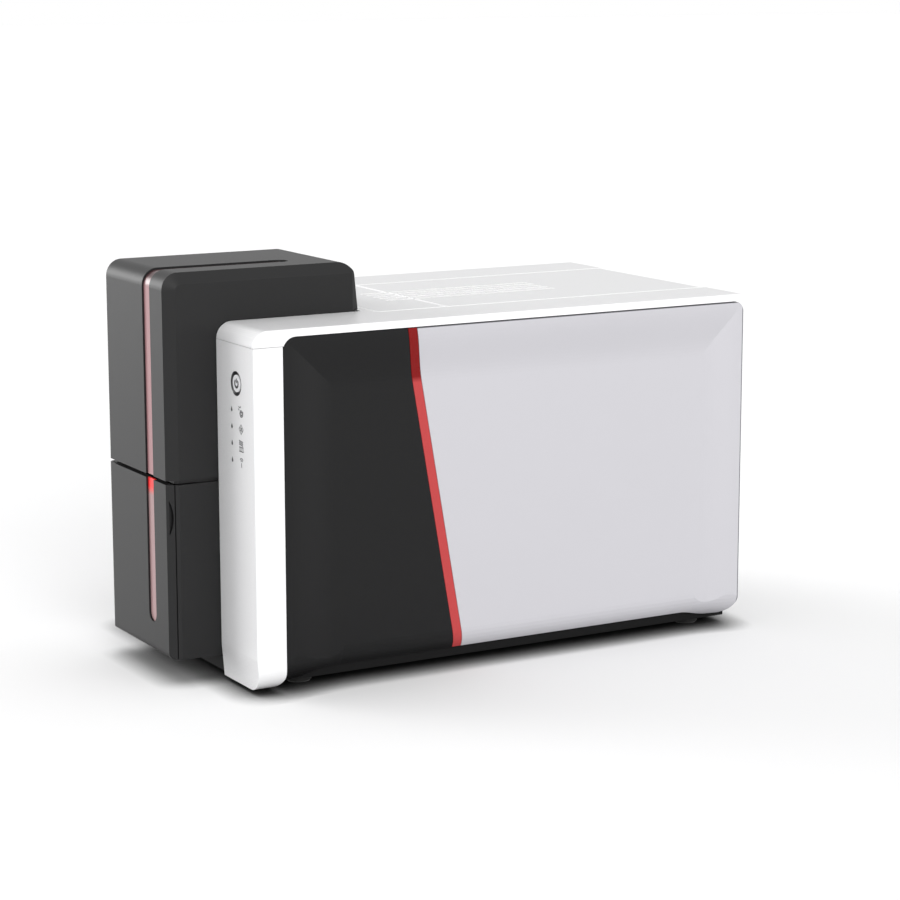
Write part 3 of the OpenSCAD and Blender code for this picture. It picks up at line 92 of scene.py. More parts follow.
def addMix(tree, share, first, second):
    node = tree.nodes.new("ShaderNodeMix")
    node.data_type = "RGBA"
    for label, value in (("Factor", share), ("A", first), ("B", second)):
        feed(tree, node.inputs[label], value)
    return node.outputs["Result"]


def addNoise(tree, place, scale, detail):
    node = tree.nodes.new("ShaderNodeTexNoise")
    for label, value in (("Vector", place), ("Scale", scale), ("Detail", detail)):
        feed(tree, node.inputs[label], value)
    return node.outputs["Fac"]


def addPlace(tree, space="Object"):
    return tree.nodes.new("ShaderNodeTexCoord").outputs[space]


def placeAlong(tree, axis, space="Object"):
    split = tree.nodes.new("ShaderNodeSeparateXYZ")
    feed(tree, split.inputs[0], addPlace(tree, space))
    return split.outputs[axis]


def newMaterial(name):
    mat = bpy.data.materials.new(name)
    mat.use_nodes = True
    return mat, mat.node_tree, mat.node_tree.nodes["Principled BSDF"]


# A colour as a picture holds it, 0 to 255, made linear
def srgb(r, g, b):
    return tuple(((v / 255 + 0.055) / 1.055) ** 2.4 if v > 10 else v / 3294.6
                 for v in (r, g, b)) + (1.0,)

# Floor, sky and lamps

studio = {
    "floorSize": 30.0,
    "floorColour": (0.50, 0.50, 0.505, 1),   # for the light that it sends back up
    "floorSeen": (0.87, 0.87, 0.873, 1),     # for the camera and for mirror images of it
    "contactShadowTone": (0.01, 0.01, 0.01, 1),    # painted shadow colour where the object touches the paper
    "contactReach": 0.020,
    "contactDepth": 2.0,
    "contactSamples": 8,
    "skyLow": 0.30,                          # light from the horizon
    "skyHigh": 0.76,                         # light from 30 degrees up
    "skyRise": 0.5,                          # sine of those 30 degrees
    "skySeen": 1.0,                          # for the camera, in glass and in reflections
    "lampDistance": 3,
}

suns = {
    # name: direction of the light, strength, angle in degrees, colour
    "keyRight": ((0.93, -0.22, 0.32), 2.05, 40, (1.0, 0.997, 0.99)),
    "topSoft": ((-0.10, 0.10, 0.97), 0.50, 80, (1.0, 1.0, 1.0)),
    "fillLeft": ((-0.80, -0.60, 0.10), 3.1, 40, (1.0, 1.0, 1.0)),
    "rimBack": ((0.62, 0.78, 0.06), 0.22, 14, (1.0, 1.0, 1.0)),
}


def makeSun(name, direction, strength, angle, colour):
    data = bpy.data.lights.new(name, "SUN")
    data.energy = strength
    data.angle = math.radians(angle)
    data.color = colour
    lamp = addObject(name, data)
    lamp.rotation_euler = Vector(direction).to_track_quat("Z", "Y").to_euler()
    lamp.location = Vector(direction) * studio["lampDistance"]


def makeSky():
    world = bpy.data.worlds.new("studio")
    bpy.context.scene.world = world
    world.use_nodes = True
    tree = world.node_tree
    path = tree.nodes.new("ShaderNodeLightPath")
    seen = addMath(tree, "MAXIMUM", path.outputs["Is Camera Ray"], path.outputs["Is Glossy Ray"])
    seen = addMath(tree, "MAXIMUM", seen, path.outputs["Is Transmission Ray"])
    light = addRange(tree, placeAlong(tree, "Z", "Generated"), high=studio["skyRise"],
                     toLow=studio["skyLow"], toHigh=studio["skyHigh"])
    sky = tree.nodes["Background"]
    sky.inputs["Color"].default_value = (1, 1, 1, 1)
    feed(tree, sky.inputs["Strength"],
         addRange(tree, seen, toLow=light, toHigh=studio["skySeen"]))


def makeFloor():
    size = studio["floorSize"] / 2
    mesh = bpy.data.meshes.new("floor")
    mesh.from_pydata([(-size, -size, 0), (size, -size, 0), (size, size, 0), (-size, size, 0)],
                     [], [(0, 1, 2, 3)])
    floor = addObject("floor", mesh)
    mat, tree, shader = newMaterial("floorPaper")
    path = tree.nodes.new("ShaderNodeLightPath")
    seen = addMath(tree, "MAXIMUM", path.outputs["Is Camera Ray"], path.outputs["Is Glossy Ray"])
    tone = addMix(tree, seen, studio["floorColour"], studio["floorSeen"])
    # A painted shadow darkens the paper where the body comes close to it
    closeBy = tree.nodes.new("ShaderNodeAmbientOcclusion")
    closeBy.samples = studio["contactSamples"]
    closeBy.inputs["Distance"].default_value = studio["contactReach"]
    depth = addMath(tree, "POWER", closeBy.outputs["AO"], studio["contactDepth"])
    paper = tree.nodes.new("ShaderNodeBsdfDiffuse")
    feed(tree, paper.inputs["Color"], addMix(tree, depth, studio["contactShadowTone"], tone))
    feed(tree, tree.nodes["Material Output"].inputs["Surface"], paper.outputs[0])
    tree.nodes.remove(shader)
    mesh.materials.append(mat)


for lampName, spec in suns.items():
    makeSun(lampName, *spec)
makeSky()
makeFloor()
print("camera, floor and lamps set")

# Finishes of the moulded, metal and rubber pieces
# Grain, relief and radius are in millimetres, and a swing is how far the gloss goes either way

etched = {"detail": 3, "driftScale": 14, "driftDetail": 2, "swing": 0.04, "relief": 0.05}
brush = {"along": 60, "across": 4000, "detail": 4, "dark": 0.86, "light": 1.1, "swing": 0.07,
         "relief": 0.03}
rubber = {"grain": 0.8, "depth": 0.2, "drift": 0.08, "specular": 0.3, "sheen": 0.15}
edgeLight = {"radius": 1.3, "samples": 4, "flat": 0.9999, "bent": 0.98}


def shade(colour, k):
    return tuple(min(1.0, c * k) for c in colour[:3]) + (1.0,)


# Tone, a gloss that swings with the grain, and the grain's own relief
def coverWith(tree, shader, tone, grain, rough, look, depth):
    feed(tree, shader.inputs["Base Color"], tone)
    feed(tree, shader.inputs["Roughness"],
         addRange(tree, grain, toLow=rough - look["swing"], toHigh=rough + look["swing"]))
    bump = tree.nodes.new("ShaderNodeBump")
    bump.inputs["Strength"].default_value = depth
    bump.inputs["Distance"].default_value = look["relief"] * mm
    feed(tree, bump.inputs["Height"], grain)
    feed(tree, shader.inputs["Normal"], bump.outputs["Normal"])


# Moulded plastic: fine etched grain, a slow drift of tone and a slight change of gloss
def moulded(name, colour, rough, grain, depth, drift, specular=0.5, coat=0.0):
    mat, tree, shader = newMaterial(name)
    place = addPlace(tree)
    fine = addNoise(tree, place, 1 / (grain * mm), etched["detail"])
    slow = addNoise(tree, place, etched["driftScale"], etched["driftDetail"])
    tone = addMix(tree, slow, shade(colour, 1 - drift), shade(colour, 1 + drift))
    coverWith(tree, shader, tone, fine, rough, etched, depth)
    shader.inputs["Specular IOR Level"].default_value = specular
    shader.inputs["Coat Weight"].default_value = coat
    return mat


# Metal: long brush lines along one axis
def brushed(name, colour, rough, along, depth=0.12, metallic=1.0):
    mat, tree, shader = newMaterial(name)
    stretch = tree.nodes.new("ShaderNodeMapping")
    stretch.inputs["Scale"].default_value = [brush["along" if axis == along else "across"]
                                             for axis in "XYZ"]
    feed(tree, stretch.inputs["Vector"], addPlace(tree))
    lines = addNoise(tree, stretch.outputs["Vector"], 1.0, brush["detail"])
    tone = addMix(tree, lines, shade(colour, brush["dark"]), shade(colour, brush["light"]))
    coverWith(tree, shader, tone, lines, rough, brush, depth)
    shader.inputs["Metallic"].default_value = metallic
    return mat


# Rubber: matt, slightly mottled, with a soft sheen
def rubbery(name, colour, rough=0.75):
    mat = moulded(name, colour, rough, rubber["grain"], rubber["depth"], rubber["drift"],
                  rubber["specular"])
    shader = mat.node_tree.nodes["Principled BSDF"]
    shader.inputs["Sheen Weight"].default_value = rubber["sheen"]
    return mat


# A further colour over the one that the finish has, as far as share says
def layOver(mat, share, colour):
    tree = mat.node_tree
    socket = tree.nodes["Principled BSDF"].inputs["Base Color"]
    under = socket.links[0].from_socket
    feed(tree, socket, addMix(tree, share, under, colour))


# Another tone beyond a place along one axis: it sets in at start and is whole at full
def shadeWithin(mat, axis, start, full, colour):
    tree = mat.node_tree
    layOver(mat, addRange(tree, placeAlong(tree, axis), start * mm, full * mm), colour)


# Painted highlight on the edges above a height, as if the tiny chamfers of seams and slots caught
# the light
def lightEdges(mat, height, colour):
    tree = mat.node_tree
    chamfer = tree.nodes.new("ShaderNodeBevel")
    chamfer.inputs["Radius"].default_value = edgeLight["radius"] * mm
    chamfer.samples = edgeLight["samples"]
    match = tree.nodes.new("ShaderNodeVectorMath")
    match.operation = "DOT_PRODUCT"
    feed(tree, match.inputs[0], tree.nodes.new("ShaderNodeNewGeometry").outputs["True Normal"])
    feed(tree, match.inputs[1], chamfer.outputs["Normal"])
    near = addRange(tree, match.outputs["Value"], edgeLight["flat"], edgeLight["bent"])
    high = addMath(tree, "GREATER_THAN", placeAlong(tree, "Z"), height * mm)
    layOver(mat, addMath(tree, "MULTIPLY", near, high), colour)


# Bands of several tones that repeat along one axis, with a sharp change
def bandsAlong(mat, axis, period, colours):
    tree = mat.node_tree
    ramp = tree.nodes.new("ShaderNodeValToRGB")
    ramp.color_ramp.interpolation = "CONSTANT"
    steps = ramp.color_ramp.elements
    steps[0].color = colours[0]
    steps[1].position = 1 / len(colours)
    steps[1].color = colours[1]
    for i, colour in enumerate(colours[2:], 2):
        steps.new(i / len(colours)).color = colour
    turns = addMath(tree, "DIVIDE", placeAlong(tree, axis), period * mm)
    feed(tree, ramp.inputs["Fac"], addMath(tree, "FRACT", turns))
    feed(tree, tree.nodes["Principled BSDF"].inputs["Base Color"], ramp.outputs["Color"])


# Covers, panels and windows
shellWhite = moulded("shellWhite", srgb(238, 238, 239), 0.27, grain=0.3, depth=0.04, drift=0.006)
# The top cover's white is painted darker than the front's as shade, 226 on the front rounding; the
# steps below paint the flat top darker still
topWhite = moulded("topWhite", srgb(226, 226, 227), 0.42, grain=0.3, depth=0.04, drift=0.006,
                   specular=0.3)
rearWhite = moulded("rearWhite", srgb(216, 216, 218), 0.5, grain=0.5, depth=0.12, drift=0.01)
buttonWhite = moulded("buttonWhite", srgb(238, 238, 240), 0.30, grain=0.3, depth=0.04, drift=0.006)
charcoal = moulded("charcoalPanel", srgb(14, 14, 15), 0.36, grain=0.45, depth=0.06, drift=0.05,
                   specular=0.24)
stripeRed = moulded("stripeRed", srgb(184, 66, 67), 0.26, grain=0.4, depth=0.04, drift=0.02,
                    specular=0.25)
paleGrey = moulded("paleGreyPanel", srgb(194, 193, 198), 0.40, grain=0.45, depth=0.06, drift=0.008)
towerGrey = moulded("towerGrey", srgb(11, 11, 12), 0.50, grain=0.4, depth=0.06, drift=0.04,
                    specular=0.34)
# The base tray's own black, painted darker than the inner black as shade under the body
baseBlack = moulded("baseBlack", srgb(8, 8, 9), 0.66, grain=0.6, depth=0.18, drift=0.06,
                    specular=0.2)
windowRed = moulded("windowRed", srgb(168, 124, 127), 0.30, grain=1.2, depth=0.03, drift=0.05)
windowLow = moulded("windowLow", srgb(167, 134, 135), 0.30, grain=1.2, depth=0.03, drift=0.05)

# Painted light and shade, laid into the finishes' colour along one axis
paintedLightSteps = [
    # finish, axis, where the tone sets in and where it is full in millimetres, colour
    (topWhite, "Z", 215.8, 216.9, (206, 206, 207)),     # the flat top, painted shade
    (topWhite, "X", 100.8, 101.6, (238, 238, 239)),     # right flank, as white as the front, without the painted shade
    (topWhite, "X", -100.8, -101.6, (238, 238, 239)),   # left flank
    (stripeRed, "Z", 178.5, 182.0, (126, 4, 4)),        # upper end of the stripe, painted shade
    (paleGrey, "Z", 211.5, 211.8, (84, 84, 88)),        # upper edge, painted shade of the seam under the top cover
    (paleGrey, "Y", 187.2, 187.5, (104, 106, 112)),     # rear edge, painted shade of the seam
    (windowRed, "Z", 236.0, 243.0, (58, 26, 28)),       # upper end of the window above the magazine, painted shade of its deep recess
    (windowLow, "Z", 111.5, 116.5, (250, 40, 40)),      # painted glow, as of light leaking in at the seam
]
# Painted highlight on the top cover's edges: the height above which it is laid, and its colour
topEdgeHighlight = {"height": 212.5, "colour": (255, 255, 255)}

for mat, axis, start, full, colour in paintedLightSteps:
    shadeWithin(mat, axis, start, full, srgb(*colour))
lightEdges(topWhite, topEdgeHighlight["height"], srgb(*topEdgeHighlight["colour"]))

# Inner pieces
innerBlack = moulded("innerBlack", srgb(12, 12, 13), 0.6, grain=0.6, depth=0.18, drift=0.06)
gearIvory = moulded("gearIvory", srgb(214, 208, 188), 0.45, grain=0.5, depth=0.06, drift=0.02)
boardGreen = moulded("boardGreen", srgb(28, 92, 52), 0.35, grain=2.0, depth=0.04, drift=0.12,
                     coat=0.5)
ceramic = moulded("headCeramic", srgb(198, 191, 172), 0.26, grain=0.7, depth=0.04, drift=0.03)
smokedGuide = moulded("smokedGuide", srgb(26, 26, 28), 0.30, grain=0.7, depth=0.04, drift=0.04)
footRubber = rubbery("footRubber", srgb(24, 24, 24))
pickRubber = rubbery("pickRubber", srgb(60, 60, 62), 0.7)
cleanBlue = rubbery("cleanBlue", srgb(74, 132, 190), 0.45)
plateSteel = brushed("plateSteel", srgb(196, 199, 203), 0.38, along="Y")
bridgeSteel = brushed("bridgeSteel", srgb(188, 191, 195), 0.40, along="X")
pinSteel = brushed("pinSteel", srgb(205, 207, 210), 0.25, along="X", depth=0.06)
finAlloy = brushed("finAlloy", srgb(190, 192, 196), 0.42, along="Z")
motorBlack = brushed("motorBlack", srgb(44, 45, 48), 0.45, along="X", metallic=0.6)
pinionBrass = brushed("pinionBrass", srgb(206, 170, 92), 0.30, along="X", depth=0.08)
portTin = brushed("portTin", srgb(200, 202, 205), 0.30, along="Y", depth=0.05)

# Ink film: yellow, magenta, cyan and black panels follow each other
filmPanels = {"period": 228,
              "colours": ((196, 168, 36), (150, 34, 84), (28, 92, 142), (26, 24, 26))}
inkFilm = moulded("inkFilm", srgb(70, 30, 60), 0.22, grain=1.5, depth=0.03, drift=0.15, coat=0.6)
filmRoll = moulded("filmRoll", srgb(52, 24, 46), 0.26, grain=2.2, depth=0.05, drift=0.18, coat=0.5)
bandsAlong(inkFilm, "Y", filmPanels["period"], [srgb(*colour) for colour in filmPanels["colours"]])

finishOf = {
    shellWhite: ["front_cover_left", "front_cover_right"],
    topWhite: ["top_cover", "hood_cover", "release_pad"],
    rearWhite: ["rear_panel"],
    buttonWhite: ["power_button"],
    charcoal: ["panel_dark_left", "panel_dark_right"],
    stripeRed: ["stripe_left", "stripe_right"],
    paleGrey: ["panel_grey_left", "panel_grey_right"],
    towerGrey: ["feeder_cover", "hopper_body", "hopper_door"],
    baseBlack: ["base_tray"],
    windowRed: ["feeder_window"],
    windowLow: ["hopper_window"],
    innerBlack: ["side_wall_left", "side_wall_right", "feeder_deck", "card_magazine",
                 "card_guide", "hood_frame", "power_inlet", "card_weight"],
    gearIvory: ["idler_front", "idler_middle", "idler_rear", "supply_spool", "takeup_spool"],
    boardGreen: ["panel_board", "main_board"],
    ceramic: ["print_head"],
    smokedGuide: ["panel_lights"],
    footRubber: ["feet"],
    pickRubber: ["pick_roller", "front_roller", "middle_roller", "platen_roller", "rear_roller"],
    cleanBlue: ["cleaning_roller"],
    plateSteel: ["side_plate_left", "side_plate_right", "motor_bracket", "gauge_lever"],
    bridgeSteel: ["cross_bridge"],
    pinSteel: ["hood_pin", "feeder_pin", "door_pin", "front_pinch", "rear_pinch"],
    finAlloy: ["head_bracket"],
    motorBlack: ["drive_motor", "pick_motor"],
    pinionBrass: ["motor_pinion"],
    portTin: ["data_ports"],
    inkFilm: ["ribbon_film"],
}

for finish, names in finishOf.items():
    for nodeName in names:
        mesh = nodes[nodeName].data
        mesh.materials.clear()
        mesh.materials.append(finish)

bare = [n for n in nodes if not any(n in names for names in finishOf.values())]
print("finishes on", len(nodes) - len(bare), "nodes, bare:", bare)

# Builders. Sizes are in millimetres here and become metres in the mesh

# Faces that turn by more than sharpFrom degrees meet in an edge
faceting = {"sharpFrom": 35, "bevelSegments": 2}


def meshFrom(bm, name):
    bmesh.ops.recalc_face_normals(bm, faces=bm.faces)
    for vert in bm.verts:
        vert.co *= mm
    mesh = bpy.data.meshes.new(name)
    bm.to_mesh(mesh)
    bm.free()
    return mesh


def smoothFaces(mesh, sharp):
    for face in mesh.polygons:
        face.use_smooth = True
    mesh.set_sharp_from_angle(angle=math.radians(sharp))


# The mesh that an object has once its modifiers or its curve are worked out
def worked(piece):
    bpy.context.view_layer.update()
    return bpy.data.meshes.new_from_object(
        piece.evaluated_get(bpy.context.evaluated_depsgraph_get()))


def newPiece(name, finish, body, fill, bevel=0.0):
    bm = bmesh.new()
    fill(bm)
    mesh = meshFrom(bm, name)
    smoothFaces(mesh, faceting["sharpFrom"])
    mesh.materials.append(finish)
    piece = addObject(name, mesh)
    if bevel:
        edges = piece.modifiers.new("softEdges", "BEVEL")
        edges.width = bevel * mm
        edges.segments = faceting["bevelSegments"]
        edges.limit_method = "ANGLE"
        edges.harden_normals = True
    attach(piece, body)


# Faces between rows of points that follow each other
def ringFaces(bm, rows, closed=True):
    for near, far in zip(rows, rows[1:]):
        count = len(near)
        for i in range(count if closed else count - 1):
            j = (i + 1) % count
            bm.faces.new((near[i], near[j], far[j], far[i]))


# Faces between the rows, and one over each end
def capped(bm, rows):
    bm.faces.new(rows[0])
    bm.faces.new(list(reversed(rows[-1])))
    ringFaces(bm, rows)


# Points round an axis, each at its own radius
def ring(bm, centre, axis, along, radii):
    order = {"X": (0, 1, 2), "Y": (1, 2, 0), "Z": (2, 0, 1)}[axis]
    row = []
    for i, radius in enumerate(radii):
        angle = 2 * math.pi * i / len(radii)
        spot = [0.0, 0.0, 0.0]
        spot[order[0]] = centre[order[0]] + along
        spot[order[1]] = centre[order[1]] + radius * math.cos(angle)
        spot[order[2]] = centre[order[2]] + radius * math.sin(angle)
        row.append(bm.verts.new(spot))
    return row


# A turned part: the profile is a list of (radius, distance along the axis)
def turned(bm, profile, centre, axis, facets):
    capped(bm, [ring(bm, centre, axis, along, [radius] * facets) for radius, along in profile])


def block(bm, low, high):
    corners = [bm.verts.new([(low, high)[k][i] for i, k in enumerate(pick)])
               for pick in ((0, 0, 0), (1, 0, 0), (1, 1, 0), (0, 1, 0),
                            (0, 0, 1), (1, 0, 1), (1, 1, 1), (0, 1, 1))]
    for face in ((0, 3, 2, 1), (4, 5, 6, 7), (0, 1, 5, 4), (1, 2, 6, 5), (2, 3, 7, 6),
                 (3, 0, 4, 7)):
        bm.faces.new([corners[i] for i in face])

# Marks on the front strip and the button: strokes of ink that stand a little proud

inkProud = 0.05


# A line of even width on a face that looks to the front
def inkStroke(bm, points, width, face, closed=False):
    count = len(points)
    rows = []
    for i, (x, z) in enumerate(points):
        before = points[i - 1] if i or closed else points[0]
        after = points[(i + 1) % count] if i < count - 1 or closed else points[-1]
        dx, dz = after[0] - before[0], after[1] - before[1]
        reach = width / 2 / math.hypot(dx, dz)
        nx, nz = -dz * reach, dx * reach
        rows.append([bm.verts.new((x + side * nx, face - up, z + side * nz))
                     for side, up in ((1, 0), (1, inkProud), (-1, inkProud), (-1, 0))])
    if closed:
        ringFaces(bm, rows + [rows[0]])
    else:
        capped(bm, rows)


def arcPoints(centre, radius, start, end, steps):
    turns = [math.radians(start + (end - start) * i / steps) for i in range(steps + 1)]
    return [(centre[0] + radius * math.cos(a), centre[1] + radius * math.sin(a)) for a in turns]


def coilPoints(centre, start, growth, turns, steps):
    points = []
    for i in range(steps + 1):
        radius = start + growth * i / steps
        angle = 2 * math.pi * turns * i / steps
        points.append((centre[0] + radius * math.cos(angle), centre[1] + radius * math.sin(angle)))
    return points


powerMark = {"centre": (79.6, 184.2), "radius": 2.25, "width": 1.25, "gap": 76, "steps": 40,
             "bar": (0.3, 2.9), "barWidth": 1.0, "face": -155.7}


def fillPowerMark(bm):
    x, z = powerMark["centre"]
    half = powerMark["gap"] / 2
    inkStroke(bm, arcPoints((x, z), powerMark["radius"], 90 + half, 450 - half, powerMark["steps"]),
              powerMark["width"], powerMark["face"])
    inkStroke(bm, [(x, z + rise) for rise in powerMark["bar"]], powerMark["barWidth"],
              powerMark["face"])


stripMarks = {
    "x": 85.6, "width": 0.62, "face": -156.0, "size": 1.22,
    # mark: height of its middle, open lines and closed lines, as offsets from the middle
    "marks": {
        # a coil with a loose end
        "ribbon": (168.1, [coilPoints((0.4, -0.5), 0.45, 1.5, 2.1, 36),
                           [(-2.4, 2.6), (-0.9, 2.0), (0.1, 2.9)],
                           [(-2.9, 1.4), (-1.6, 0.8)]], []),
        # a tilted square with a cross in it
        "cleaning": (158.0, [[(-0.9, 0.9), (0.9, -0.9)],
                             [(-0.9, -0.9), (0.9, 0.9)]],
                     [[(0, 2.3), (2.3, 0), (0, -2.3), (-2.3, 0)]]),
        # three slanted edges over a card with two lines
        "cards": (148.1, [[(-2.4, edge), (1.9, edge - 0.6)] for edge in (0.9, 1.75, 2.6)]
                  + [[(side, -2.6), (side, -0.5)] for side in (-0.7, 0.7)],
                  [[(-2.2, -2.6), (2.2, -2.6), (2.2, -0.5), (-2.2, -0.5)]]),
        # waves over a stem
        "link": (138.1, [arcPoints((0, 0), 2.2, 40, 140, 14),
                         arcPoints((0, 0), 1.2, 40, 140, 10),
                         [(0, 0.2), (0, -2.2)]], []),
    },
}


def fillStripMarks(bm):
    x, size = stripMarks["x"], stripMarks["size"]
    for z, openLines, closedLines in stripMarks["marks"].values():
        for closed, lines in ((False, openLines), (True, closedLines)):
            for line in lines:
                inkStroke(bm, [(x + a * size, z + b * size) for a, b in line],
                          stripMarks["width"], stripMarks["face"], closed)


markBlack = moulded("markBlack", srgb(22, 22, 23), 0.45, grain=0.4, depth=0.03, drift=0.03)
markGrey = moulded("markGrey", srgb(58, 58, 61), 0.5, grain=0.4, depth=0.03, drift=0.03)
newPiece("powerMark", markBlack, "button", fillPowerMark)
newPiece("stripMarks", markGrey, "chassis", fillStripMarks)
print("marks drawn")

# Rollers: ground rubber sleeves over the driven shafts

rollerSet = {
    # roller: body, place along Y
    "frontRoller": ("front_feed", -44.8),
    "middleRoller": ("middle_feed", 1.6),
    "platen": ("platen", 48.0),
    "rearRoller": ("rear_feed", 94.4),
}
sleeve = {"x": (-17.75, 30.15), "z": 121.5, "radius": 6.54, "round": 0.5, "ease": 0.15,
          "facets": 48}


def fillSleeve(bm, y):
    low, high = sleeve["x"]
    r, edge, ease = sleeve["radius"], sleeve["round"], sleeve["ease"]
    turned(bm, [(r - edge, low), (r - ease, low + ease), (r, low + edge), (r, high - edge),
                (r - ease, high - ease), (r - edge, high)],
           (0, y, sleeve["z"]), "X", sleeve["facets"])


groundRubber = rubbery("groundRubber", srgb(34, 34, 35), 0.7)
softGrey = rubbery("softGreyRubber", srgb(74, 75, 78), 0.66)
for label, (body, y) in rollerSet.items():
    newPiece(label + "Sleeve", groundRubber if label == "platen" else softGrey, body,
             lambda bm, y=y: fillSleeve(bm, y))

# Retaining rings on the studs of the idler gears, open at the bottom and notched outside

clip = {"x": (-50.9, -50.4), "y": (-21.6, 24.8, 71.2), "z": 121.5, "inner": 2.1, "outer": 4.6,
        "open": 80, "steps": 22, "notch": 0.8, "notchAt": (3, 10, 17)}


def fillClips(bm):
    back, front = clip["x"]
    for y in clip["y"]:
        rows = []
        for i in range(clip["steps"] + 1):
            angle = clip["open"] / 2 - 90 + (360 - clip["open"]) * i / clip["steps"]
            across, up = math.cos(math.radians(angle)), math.sin(math.radians(angle))
            inner = clip["inner"]
            outer = clip["outer"] - (clip["notch"] if i in clip["notchAt"] else 0)
            rows.append([bm.verts.new((x, y + r * across, clip["z"] + r * up))
                         for x, r in ((back, inner), (back, outer), (front, outer),
                                      (front, inner))])
        capped(bm, rows)


newPiece("studClips", plateSteel, "chassis", fillClips)

# Ribbon: the film's windings, with their edges, and toothed rings on both cores

windings = {"supply": {"y": 100.0, "radius": 20.03}, "takeup": {"y": 2.0, "radius": 11.03}}
spool = {
    "z": 168.0, "core": 8.05,
    "x": (-20.75, 33.15),                       # width of the film
    "layer": 0.5, "lap": 0.9, "facets": 72,     # a few turns of film show as one layer
    "proud": (0.35, 1.0), "lastProud": 0.3,     # shares of step, by turns
    "step": 0.07,
    "rings": ((-26.6, -23.4), (35.8, 39.0)),
    "ringRadius": 10.2, "teeth": 24, "toothDepth": 1.1,
}


def fillWindings(bm, y, radius):
    low, high = spool["x"]
    count = int((radius - spool["core"]) / spool["layer"])
    half = []
    for i in range(count):
        near = spool["core"] + i * spool["layer"]
        out = spool["step"] * spool["proud"][i % 2]
        half += [(near, out), (near + spool["layer"] * spool["lap"], out)]
    half.append((radius, spool["step"] * spool["lastProud"]))
    profile = [(r, low - out) for r, out in half] + [(r, high + out) for r, out in reversed(half)]
    turned(bm, profile, (0, y, spool["z"]), "X", spool["facets"])


def fillRings(bm, y):
    # A tooth takes two points and the gap behind it the next two
    count = spool["teeth"] * 4
    toothed = [spool["ringRadius"] - (0 if i % 4 < 2 else spool["toothDepth"])
               for i in range(count)]
    bore = [spool["core"]] * count
    for low, high in spool["rings"]:
        rows = [ring(bm, (0, y, spool["z"]), "X", x, radii)
                for x, radii in ((low, toothed), (high, toothed), (high, bore), (low, bore))]
        ringFaces(bm, rows + [rows[0]])


for label, size in windings.items():
    newPiece(label + "Windings", filmRoll, label,
             lambda bm, s=size: fillWindings(bm, s["y"], s["radius"]))
    newPiece(label + "Rings", gearIvory, label, lambda bm, s=size: fillRings(bm, s["y"]),
             bevel=0.12)
print("rollers and ribbon dressed")

# Print head: the glazed heater line and the cover of its driver chips

heater = {"x": (-19.6, 32.0), "y": (47.4, 48.9), "face": 129.6, "crown": 0.12, "steps": 8}
driverCover = {"low": (-14.0, 56.8, 135.2), "high": (26.4, 57.6, 144.0)}


def fillHeaterLine(bm):
    front, back = heater["y"]
    rows = []
    for i in range(heater["steps"] + 1):
        t = i / heater["steps"]
        y = front + (back - front) * t
        z = heater["face"] - heater["crown"] * math.sin(math.pi * t)
        rows.append([bm.verts.new((x, y, z)) for x in heater["x"]])
    ringFaces(bm, rows, closed=False)
    bm.faces.new([row[0] for row in rows])
    bm.faces.new([row[1] for row in reversed(rows)])
    bm.faces.new([rows[0][0], rows[0][1], rows[-1][1], rows[-1][0]])


heaterGlass = moulded("heaterGlass", srgb(38, 30, 26), 0.12, grain=0.8, depth=0.02, drift=0.08,
                      coat=0.8)
epoxyBlack = moulded("epoxyBlack", srgb(20, 20, 21), 0.34, grain=0.7, depth=0.08, drift=0.05)
newPiece("heaterLine", heaterGlass, "head", fillHeaterLine)
newPiece("driverCover", epoxyBlack, "head",
         lambda bm: block(bm, driverCover["low"], driverCover["high"]), bevel=0.5)

# Springs: on the posts of the print head and of the release pad

headSpring = {"x": (-13.8, 26.2), "y": (51.0,), "z": (183.75, 203.9), "radius": 3.3, "wire": 0.45,
              "turns": 9, "travel": 1.5}
padSpring = {"x": (-27.8, 40.2), "y": (-44.0, -13.9), "z": (201.05, 213.0), "radius": 3.0,
             "wire": 0.4, "turns": 7, "travel": 2}
wireMesh = {"stepsPerTurn": 20, "rounding": 3}


def addSpring(name, body, place, spring):
    (low, high), radius, wire, turns = (spring[k] for k in ("z", "radius", "wire", "turns"))
    path = bpy.data.curves.new(name, "CURVE")
    path.dimensions = "3D"
    path.bevel_depth = wire * mm
    path.bevel_resolution = wireMesh["rounding"]
    line = path.splines.new("POLY")
    steps = turns * wireMesh["stepsPerTurn"]
    line.points.add(steps)
    for i in range(steps + 1):
        turn = turns * i / steps
        # The end coils lie flat, as ground spring ends do
        rise = min(max((turn - 1) / (turns - 2), 0), 1)
        flat = wire * 2 * (min(turn, 1) + max(turn - turns + 1, 0))
        z = low + wire + flat + (high - low - 6 * wire) * rise
        angle = 2 * math.pi * turn
        line.points[i].co = ((place[0] + radius * math.cos(angle)) * mm,
                             (place[1] + radius * math.sin(angle)) * mm, z * mm, 1)
    coil = addObject("coil", path)
    mesh = worked(coil)
    bpy.data.objects.remove(coil)
    mesh.materials.clear()
    mesh.materials.append(springSteel)
    piece = addObject(name, mesh)
    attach(piece, body)
    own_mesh(piece)


springSteel = brushed("springSteel", srgb(186, 188, 192), 0.30, along="Z", depth=0.04)
# The head's springs hang from the hood, and the pad's stand on the bridge
for label, spring, body, joint, anchorZ in (
        ("headSpring", headSpring, "hood", "head_float", headSpring["z"][1]),
        ("padSpring", padSpring, "chassis", "pad_press", padSpring["z"][0])):
    for i, place in enumerate([(x, y) for x in spring["x"] for y in spring["y"]]):
        addSpring("%s%d" % (label, i + 1), body, place, spring)
print("print head and springs dressed")

# Rear sockets: contact springs, lamps, tongue and pins

